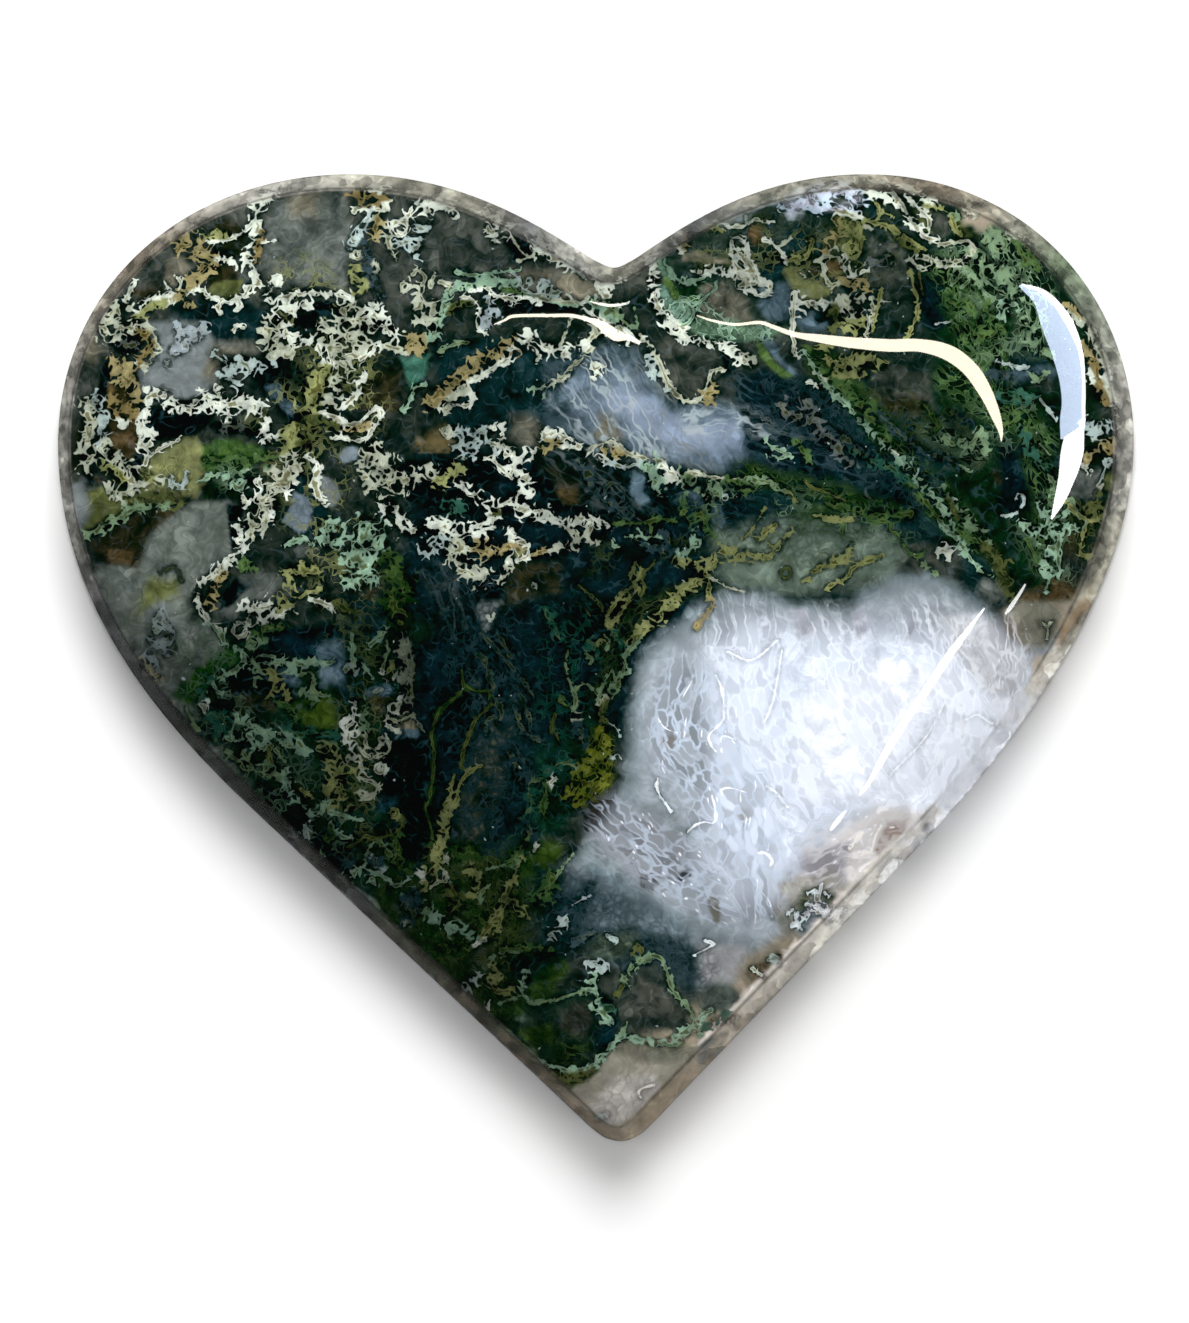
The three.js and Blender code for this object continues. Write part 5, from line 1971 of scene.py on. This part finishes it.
moss_light = add(tree, "Math", {0: thread_light, 1: moss_edge}, operation="MULTIPLY")
moss_colour = add(tree, "VectorMath", {0: measure["moss_tint"], "Scale": moss_light}, operation="SCALE")
colour = add(tree, "Mix", {"Factor": moss_share, "A": colour, "B": moss_colour}, data_type="RGBA")
print(len(tree.nodes), "nodes with the moss")

# %% Crust
crust_cells = add(tree, "TexVoronoi", {
    "Vector": crinkled, "Scale": PER_MM["crust thread"]}, feature="DISTANCE_TO_EDGE")
crust_cloud = add(tree, "TexNoise", {"Vector": wavy, "Scale": PER_MM["crust cloud"], "Detail": 1.0})
crust_mass = add(tree, "MapRange", {
    "Value": crust_cloud, "From Min": 0.42, "From Max": 0.62, "To Min": -0.05, "To Max": 0.16})
crust_line = add(tree, "Math", {0: crust_mass, 1: crust_cells}, operation="SUBTRACT")
crust_thread = add(tree, "MapRange", {
    "Value": crust_line, "From Min": -0.02, "From Max": 0.02}, interpolation_type=SMOOTH)
crust_shadow = add(tree, "MapRange", {
    "Value": crust_line, "From Min": -0.3, "From Max": -0.03, "To Min": 1.0, "To Max": 0.3})
crust_shadow = add(tree, "Mix", {"Factor": measure["crust"], "A": 1.0, "B": crust_shadow})
colour = add(tree, "VectorMath", {0: colour, "Scale": crust_shadow}, operation="SCALE")
crust_share = add(tree, "Math", {0: crust_thread, 1: measure["crust"]}, operation="MULTIPLY")
crust_edge = add(tree, "MapRange", {
    "Value": crust_line, "From Min": 0.0, "From Max": 0.08, "To Min": 1.3, "To Max": 0.6})
crust_light = add(tree, "Math", {0: thread_light, 1: crust_edge}, operation="MULTIPLY")
crust_colour = add(tree, "VectorMath", {0: measure["crust_tint"], "Scale": crust_light}, operation="SCALE")
colour = add(tree, "Mix", {"Factor": crust_share, "A": colour, "B": crust_colour}, data_type="RGBA")
print(len(tree.nodes), "nodes with the crust")

# %% [markdown]
# The lace looks like fine coral: rounded walls with a painted highlight along their edges, round holes, and
# thin loops along its outside, where it opens into a net. Painted shade darkens the stone right round it.

# %% Loops along the outside of the lace
USUAL_UNEVEN = 0.52  # where the noise is even, the loops neither swell nor shrink
LOOP_LIGHT = 0.7
beside = add(tree, "Math", {0: measure["lace"], 1: measure["frill"]}, operation="DIVIDE")
loop_mass = add(tree, "MapRange", {
    "Value": beside, "From Min": -1.2, "From Max": 0.2, "To Min": 0.0, "To Max": 0.12})
loop_uneven = add(tree, "Math", {0: uneven, 1: USUAL_UNEVEN}, operation="SUBTRACT")
loop_mass = add(tree, "Math", {0: loop_uneven, 1: 0.6, 2: loop_mass}, operation="MULTIPLY_ADD")
curls = add(tree, "TexNoise", {"Vector": crinkled, "Scale": PER_MM["curl"], "Detail": 0.0})
curls = from_middle(curls)
loop_line = add(tree, "Math", {0: loop_mass, 1: curls}, operation="SUBTRACT")
loop_share = add(tree, "MapRange", {
    "Value": loop_line, "From Min": -0.03, "From Max": 0.02, "To Max": 0.9}, interpolation_type=SMOOTH)
loop_end = add(tree, "Math", {0: loop_uneven, 1: 4.0, 2: beside}, operation="MULTIPLY_ADD")
loop_near = add(tree, "MapRange", {"Value": loop_end, "From Min": -1.3, "From Max": -1.1})
keen = add(tree, "Math", {0: 1.0, 1: calm}, operation="SUBTRACT")
for share in (keen, loop_near):
    loop_share = add(tree, "Math", {0: loop_share, 1: share}, operation="MULTIPLY")
loop_light = add(tree, "Math", {0: thread_light, 1: LOOP_LIGHT}, operation="MULTIPLY")
loop_colour = add(tree, "VectorMath", {0: measure["lace_tint"], "Scale": loop_light}, operation="SCALE")
print(len(tree.nodes), "nodes with the loops")

# %% Lace
BUBBLE_MM = 0.43  # the distance that one cell of the bubbles stands for
LACE_ROUNDING = 0.05  # millimetres, where a hole meets an edge
WALL_TINT = (0.42, 0.37, 0.26)  # the inside of a wall against its lighter edge
swelling = add(tree, "TexNoise", {"Vector": mm, "Scale": PER_MM["swelling"], "Detail": 0.0})
swelling = add(tree, "Math", {0: swelling, 1: 0.55}, operation="SUBTRACT")
knobs = add(tree, "TexVoronoi", {"Vector": crinkled, "Scale": PER_MM["knob"]})
knobs = add(tree, "MapRange", {
    "Value": knobs, "From Min": 0.0, "From Max": 0.6, "To Min": 0.4, "To Max": -0.4})
swelling = add(tree, "Math", {0: swelling, 1: 1.8, 2: knobs}, operation="MULTIPLY_ADD")
frilled = add(tree, "Math", {
    0: swelling, 1: measure["frill"], 2: measure["lace"]}, operation="MULTIPLY_ADD")
bubbles = add(tree, "TexVoronoi", {"Vector": wavy, "Scale": PER_MM["bubble"], "Randomness": 0.85})
hole_size = add(tree, "MapRange", {
    "Value": measure["lace_holes"], "From Max": 0.6, "To Min": 0.47, "To Max": 0.6})
hole_size = add(tree, "Math", {0: loop_uneven, 1: -0.5, 2: hole_size}, operation="MULTIPLY_ADD")
wide_enough = add(tree, "MapRange", {"Value": measure["frill"], "From Min": 0.07, "From Max": 0.17})
hole_size = add(tree, "Math", {0: hole_size, 1: wide_enough}, operation="MULTIPLY")
open_places = add(tree, "Math", {0: bubbles, 1: hole_size}, operation="SUBTRACT")
open_places = add(tree, "Math", {0: open_places, 1: BUBBLE_MM}, operation="MULTIPLY")
lace_depth = add(tree, "Math", {0: frilled, 1: open_places, 2: LACE_ROUNDING}, operation="SMOOTH_MIN")
lace_share = add(tree, "MapRange", {
    "Value": lace_depth, "From Min": -0.02, "From Max": 0.02}, interpolation_type=SMOOTH)
lace_fade = add(tree, "MapRange", {
    "Value": crust_cloud, "From Min": 0.36, "From Max": 0.5, "To Min": 0.7, "To Max": 1.0})
soft = add(tree, "MapRange", {"Value": measure["crystal"], "From Max": 0.5, "To Min": 1.0, "To Max": 0.8})
for share in (lace_fade, soft):
    lace_share = add(tree, "Math", {0: lace_share, 1: share}, operation="MULTIPLY")
beside_wall = add(tree, "Math", {0: lace_depth, 1: measure["frill"]}, operation="DIVIDE")
shade = add(tree, "MapRange", {
    "Value": beside_wall, "From Min": -1.6, "From Max": 0.0, "To Min": 1.0, "To Max": 0.12})
shade = add(tree, "Mix", {"Factor": calm, "A": shade, "B": 1.0})
colour = add(tree, "VectorMath", {0: colour, "Scale": shade}, operation="SCALE")
colour = add(tree, "Mix", {"Factor": loop_share, "A": colour, "B": loop_colour}, data_type="RGBA")
# Painted highlight: the lace is lighter at its edges than in its middle, as if its rounded walls caught the
# light.
edge_highlight = add(tree, "MapRange", {
    "Value": lace_depth, "From Min": 0.03, "From Max": 0.13, "To Min": 0.95, "To Max": 0.7},
    interpolation_type=SMOOTH)
lace_light = add(tree, "Math", {0: edge_highlight, 1: thread_light}, operation="MULTIPLY")
lace_light = add(tree, "Mix", {"Factor": calm, "A": lace_light, "B": 1.0})
mossy = add(tree, "MapRange", {
    "Value": cloudy, "From Min": 0.42, "From Max": 0.62, "To Min": 0.4, "To Max": 0.0})
mossy = add(tree, "Math", {0: mossy, 1: keen}, operation="MULTIPLY")
lace_tint = add(tree, "Mix", {
    "Factor": mossy, "A": measure["lace_tint"], "B": (*tint("olive"), 1.0)}, data_type="RGBA")
inner = add(tree, "MapRange", {"Value": lace_depth, "From Min": 0.02, "From Max": 0.1})
inner = add(tree, "Math", {0: inner, 1: keen}, operation="MULTIPLY")
deeper_tint = add(tree, "VectorMath", {0: lace_tint, 1: WALL_TINT}, operation="MULTIPLY")
lace_tint = add(tree, "Mix", {"Factor": inner, "A": lace_tint, "B": deeper_tint}, data_type="RGBA")
lace_colour = add(tree, "VectorMath", {0: lace_tint, "Scale": lace_light}, operation="SCALE")
colour = add(tree, "Mix", {"Factor": lace_share, "A": colour, "B": lace_colour}, data_type="RGBA")
print(len(tree.nodes), "nodes with the lace")

# %% [markdown]
# Last the dust of white specks, which are gas bubbles and grains of silica.

# %% Specks
speck_place = add(tree, "TexVoronoi", {"Vector": crinkled, "Scale": PER_MM["speck"]})
speck_here = add(tree, "MapRange", {
    "Value": speck_place, "From Min": 0.02, "From Max": 0.07, "To Min": 0.55, "To Max": 0.0},
    interpolation_type=SMOOTH)
colour = add(tree, "Mix", {"Factor": speck_here, "A": colour, "B": (*tint("frost"), 1.0)}, data_type="RGBA")
print(len(tree.nodes), "nodes with the specks")

# %% [markdown]
# Light that comes back from inside the stone has lost some red on its way,
# which makes everything greener and the depths nearly black. Quartz is clear.

# %% The light's way through the stone
REACH = (0.9, 1.0, 0.97)  # how much of each colour comes back
LOSS = (0.007, 0.001, 0.0025)  # and what even the darkest place loses
DARKEST = (0.0005, 0.001, 0.001)
returned = add(tree, "VectorMath", {0: colour, 1: REACH}, operation="MULTIPLY")
returned = add(tree, "VectorMath", {0: returned, 1: LOSS}, operation="SUBTRACT")
returned = add(tree, "VectorMath", {0: returned, 1: DARKEST}, operation="MAXIMUM")
clear = add(tree, "MapRange", {"Value": lightness, "From Min": 0.12, "From Max": 0.3})
clear = add(tree, "Math", {0: clear, 1: calm}, operation="MAXIMUM")
colour = add(tree, "Mix", {"Factor": clear, "A": returned, "B": colour}, data_type="RGBA")
print(len(tree.nodes), "nodes with the lost light")

# %% [markdown]
# At the rim the stone ends in a thin edge. The light that comes through it is painted in as a pale glow on
# the wall, with a fine line of painted shade where the dome's polish meets the wall. The finish over
# everything is the cutter's last polish with a fine oxide powder, which leaves the stone smooth as glass. A
# low roughness and the refractive index of agate give sharp, colourless reflections.

# %% Painted rim glow, painted edge shade, and the surface
LINE_BELOW_RIM = 0.45  # millimetres down to the middle of the painted shade line
POLISH_ROUGHNESS = 0.06
AGATE_IOR = 1.54
# Painted glow: the wall takes the pale edge colours, more of them towards its foot, in uneven facets and
# streaks.
on_wall = add(tree, "MapRange", {
    "Value": measure["rim"], "From Min": -0.15, "From Max": 0.1, "To Min": 1.0, "To Max": 0.0})
rim_even = add(tree, "MapRange", {
    "Value": uneven, "From Min": 0.38, "From Max": 0.62, "To Min": 0.35, "To Max": 0.85})
rim_low = add(tree, "MapRange", {
    "Value": measure["rim"], "From Min": -3.5, "From Max": -0.3, "To Min": 1.15, "To Max": 0.5})
rim_glow_share = on_wall
for share in (rim_even, rim_low):
    rim_glow_share = add(tree, "Math", {0: rim_glow_share, 1: share}, operation="MULTIPLY")
rim_facet = add(tree, "TexVoronoi", {"Vector": crinkled, "Scale": PER_MM["rim facet"]}, output=1)
rim_glow_light = add(tree, "MapRange", {"Value": rim_facet, **MOST_CELLS, "To Min": 0.75, "To Max": 1.5})
rim_streak = add(tree, "MapRange", {
    "Value": cloudy, "From Min": 0.35, "From Max": 0.65, "To Min": 0.75, "To Max": 1.25})
rim_glow_light = add(tree, "Math", {0: rim_glow_light, 1: rim_streak}, operation="MULTIPLY")
rim_glow_light = add(tree, "Mix", {"Factor": calm, "A": rim_glow_light, "B": 1.0})
rim_glow_colour = add(tree, "VectorMath", {0: measure["rim_tint"], "Scale": rim_glow_light}, operation="SCALE")
colour = add(tree, "Mix", {"Factor": rim_glow_share, "A": colour, "B": rim_glow_colour}, data_type="RGBA")
# Painted shade: a thin dark band just below the rim edge, none in the quartz.
below_edge = add(tree, "Math", {0: measure["rim"], 1: LINE_BELOW_RIM}, operation="ADD")
below_edge = add(tree, "Math", {0: below_edge}, operation="ABSOLUTE")
edge_shade = add(tree, "MapRange", {
    "Value": below_edge, "From Min": 0.1, "From Max": 0.55, "To Min": 0.5, "To Max": 1.0})
edge_shade = add(tree, "Mix", {"Factor": calm, "A": edge_shade, "B": 1.0})
colour = add(tree, "VectorMath", {0: colour, "Scale": edge_shade}, operation="SCALE")
surface = add(tree, "BsdfPrincipled", {"Base Color": colour, "Roughness": POLISH_ROUGHNESS, "IOR": AGATE_IOR})
output = tree.nodes.new("ShaderNodeOutputMaterial")
tree.links.new(surface, output.inputs["Surface"])
mesh.materials.append(agate)
print(len(tree.nodes), "nodes in all")

# %% [markdown]
# The stone lies on a sheet of white paper, which is a plain square here. It is
# matt, so that the only gloss in the picture is the stone's.

# %% The floor
FLOOR_HALF = 3.0  # metres
PAPER_WHITE = 0.75
floor_mesh = bpy.data.meshes.new("floor")
signs = ((-1, -1), (1, -1), (1, 1), (-1, 1))
floor_mesh.from_pydata([(x * FLOOR_HALF, y * FLOOR_HALF, 0) for x, y in signs], [], [(0, 1, 2, 3)])
floor = bpy.data.objects.new("floor", floor_mesh)
bpy.context.scene.collection.objects.link(floor)
# Matt card, pressed from bleached pulp: it has no gloss and shows the stone's soft shadow.
paper = bpy.data.materials.new("white paper")
paper.use_nodes = True
matt = paper.node_tree.nodes["Principled BSDF"].inputs
matt["Base Color"].default_value = (PAPER_WHITE, PAPER_WHITE, PAPER_WHITE, 1)
matt["Roughness"].default_value = 1.0
matt["Specular IOR Level"].default_value = 0.0
floor_mesh.materials.append(paper)
floor.visible_glossy = False  # the white paper would fog the steep wall
print("floor", 2 * FLOOR_HALF, "metres wide")

# %% [markdown]
# Four soft boxes light the stone: one like a window behind it, a wide one
# above, and two low ones at the sides that lift its wall. Their mirror images
# are left out, because the streaks on the dome are made one by one below.

# %% Lights
WORLD_STRENGTH = 0.02
SOFTBOXES = {  # place and width in metres, and watts
    "window light": ((0.0, 0.4, 0.45), 0.3, 4.9),
    "ceiling light": ((0.0, 0.0, 0.9), 1.2, 4.5),
    "left fill": ((-0.6, 0.05, 0.15), 0.26, 1.15),
    "right fill": ((0.5, -0.32, 0.15), 0.26, 1.8),
}
world = bpy.data.worlds.new("studio")
bpy.context.scene.world = world
world.use_nodes = True
world.node_tree.nodes["Background"].inputs["Color"].default_value = (1, 1, 1, 1)
world.node_tree.nodes["Background"].inputs["Strength"].default_value = WORLD_STRENGTH


def softbox(name, place, size, watts):
    """A square soft light that looks at the stone."""
    data = bpy.data.lights.new(name, "AREA")
    data.energy = watts
    data.size = size
    lamp = bpy.data.objects.new(name, data)
    lamp.location = place
    lamp.rotation_euler = (-Vector(place)).to_track_quat("-Z", "Y").to_euler()
    bpy.context.scene.collection.objects.link(lamp)
    lamp.visible_glossy = False


for name, (place, size, watts) in SOFTBOXES.items():
    softbox(name, place, size, watts)
print("lights:", ", ".join(SOFTBOXES))

# %% [markdown]
# A polished dome mirrors its surroundings as narrow curved streaks. A real
# studio would need a window frame and lamps of just the right shape. Here each
# streak has a glowing strip of its own, placed by the law of reflection: the
# strip lies where the view from above, mirrored at the dome, passes close over
# the stone. Only the stone's reflections see the strips. The table gives each
# strip a colour, a strength, how uneven it is, and marks as in the drawing.

# %% Highlights
HIGHLIGHT_DISTANCE = 1.5  # close above the stone, so that each strip is mirrored in one place only
STRIP_STEP = 0.02  # so that no two strips lie in the same place
SLOPE_STEP = 0.05
RAGGED, RAGGED_SIZE = 0.06, 20.0  # share of the width, and pixels
BLOTCHES_PER_M = 400.0
BLOTCH_RANGE = {"From Min": 0.35, "From Max": 0.65}


def dome_normal(places):
    """The dome's upward direction at places given from above."""
    slopes = [(on_dome(places + step)[:, 2] - on_dome(places - step)[:, 2]) / (2 * SLOPE_STEP)
              for step in np.eye(2) * SLOPE_STEP]
    normal = np.stack([-slopes[0], -slopes[1], np.ones(len(places))], axis=1)
    return normal / np.linalg.norm(normal, axis=1)[:, None]


def mirrored_strip(name, marks, colour, strength, spread, distance):
    """A glowing strip that the dome mirrors as a streak along marks in the picture."""
    line = course(marks)
    way = np.gradient(line[:, :2], axis=0)
    way /= np.hypot(way[:, 0], way[:, 1])[:, None]
    ragged = 1 + RAGGED * cloud(line[:, :2], RAGGED_SIZE, len(name))[:, None]
    aside = np.stack([-way[:, 1], way[:, 0]], axis=1) * line[:, 2:] * ragged
    rows = []
    for side in (-1, 1):
        place = under_picture(line[:, :2] + side * aside)
        normal = dome_normal(place)
        mirrored = 2 * normal[:, 2:] * normal - [0, 0, 1]
        rows.append(on_dome(place) + mirrored * distance)
    count = len(line)
    strip_mesh = bpy.data.meshes.new(name)
    faces = [(i, i + 1, count + i + 1, count + i) for i in range(count - 1)]
    strip_mesh.from_pydata((np.vstack(rows) * MM).tolist(), [], faces)
    # Lit cloth, a little blotchy, so that the streak isn't one flat white.
    glow = bpy.data.materials.new(name)
    glow.use_nodes = True
    glow.node_tree.nodes.clear()
    blotch = add(glow.node_tree, "TexNoise", {"Scale": BLOTCHES_PER_M, "Detail": 3.0})
    blotched = add(glow.node_tree, "MapRange", {
        "Value": blotch, **BLOTCH_RANGE, "To Min": (1 - spread) * strength, "To Max":
        (1 + spread) * strength})
    light = add(glow.node_tree, "Emission", {"Color": (*linear(colour), 1), "Strength": blotched})
    end = glow.node_tree.nodes.new("ShaderNodeOutputMaterial")
    glow.node_tree.links.new(light, end.inputs["Surface"])
    strip_mesh.materials.append(glow)
    strip = bpy.data.objects.new(name, strip_mesh)
    bpy.context.scene.collection.objects.link(strip)
    strip.visible_camera = False
    strip.visible_diffuse = False
    strip.visible_shadow = False


HIGHLIGHTS = {
    "left streak": """#fff2dc 25 .2
494,324,.4 504,320,1 512,316,1.6 530,315,1.6 550,315,1.6 570,315,1.8 584,318,2 596,322,3 606,328,5
616,335,5.5 628,337,3 640,343,1.5
""",
    "short streak": """#fff8ee 20 .2
590,301,.5 602,304,1.2 614,305,1.2 626,303,.5
""",
    "right streak": """#fff2dc 25 .2
697,315,.4 712,320,1.2 735,324,1.3 760,322,1.6 775,327,2 795,334,2.5 820,338,4 850,342,5.5 890,345,6
920,345,6.5 948,352,8 970,368,8 985,390,7 995,412,5 1001,430,2.5 1002,441,.5
""",
    "window": """#d3e4ff 18 .5
1020,285,1 1042,300,8 1055,325,13 1066,350,14 1072,375,13 1074,400,12 1073,425,12 1071,440,10
""",
    "window edge": """#ffffff 26 .2
1022,284,1 1046,293,2.5 1067,318,4 1079,350,4 1083,385,3 1081,410,5 1076,430,9 1073,450,11
1068,475,9 1060,500,5 1052,519,1
""",
    "straight streak": """#ffffff 28 .2
985,608,.6 970,628,2 950,655,3.5 930,685,3.6 905,722,3.4 885,755,3 868,785,1.5 860,795,.8
""",
    "low streak": """#ffffff 20 .2
846,811,.8 838,821,2.2 831,830,1.4
""",
    "high streak": """#ffffff 16 .2
1026,584,.8 1020,594,1.6 1012,606,2.2 1006,614,1
""",
}
for number, (name, text) in enumerate(HIGHLIGHTS.items()):
    (glow_colour, strength, spread), marks = entries(text)[0]
    distance = HIGHLIGHT_DISTANCE - number * STRIP_STEP
    mirrored_strip(name, marks, glow_colour, float(strength), float(spread), distance)
print("highlights:", ", ".join(HIGHLIGHTS))

# %% [markdown]
# The camera looks straight down from a metre away, so far that the stone's
# sides hardly lean outwards. A long lens fills the picture from there.

# %% The camera
VIEW_HEIGHT = 73.5  # of the picture, at the widest place of the stone
SENSOR = 36.0
camera_data = bpy.data.cameras.new("camera")
camera_data.sensor_width = SENSOR
camera_data.lens = SENSOR * CAMERA_DISTANCE / VIEW_HEIGHT
camera = bpy.data.objects.new("camera", camera_data)
camera.location = (picture_middle[0] * MM, picture_middle[1] * MM, (CAMERA_DISTANCE + BACK_BEVEL) * MM)
bpy.context.scene.collection.objects.link(camera)
bpy.context.scene.camera = camera
bpy.context.scene.view_settings.view_transform = "Standard"
print("lens", round(camera_data.lens), "mm")

# %% [markdown]
# The stone moves with the frame's only body and takes the place of its node.

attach(stone, "root")
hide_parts("moss_agate_heart")
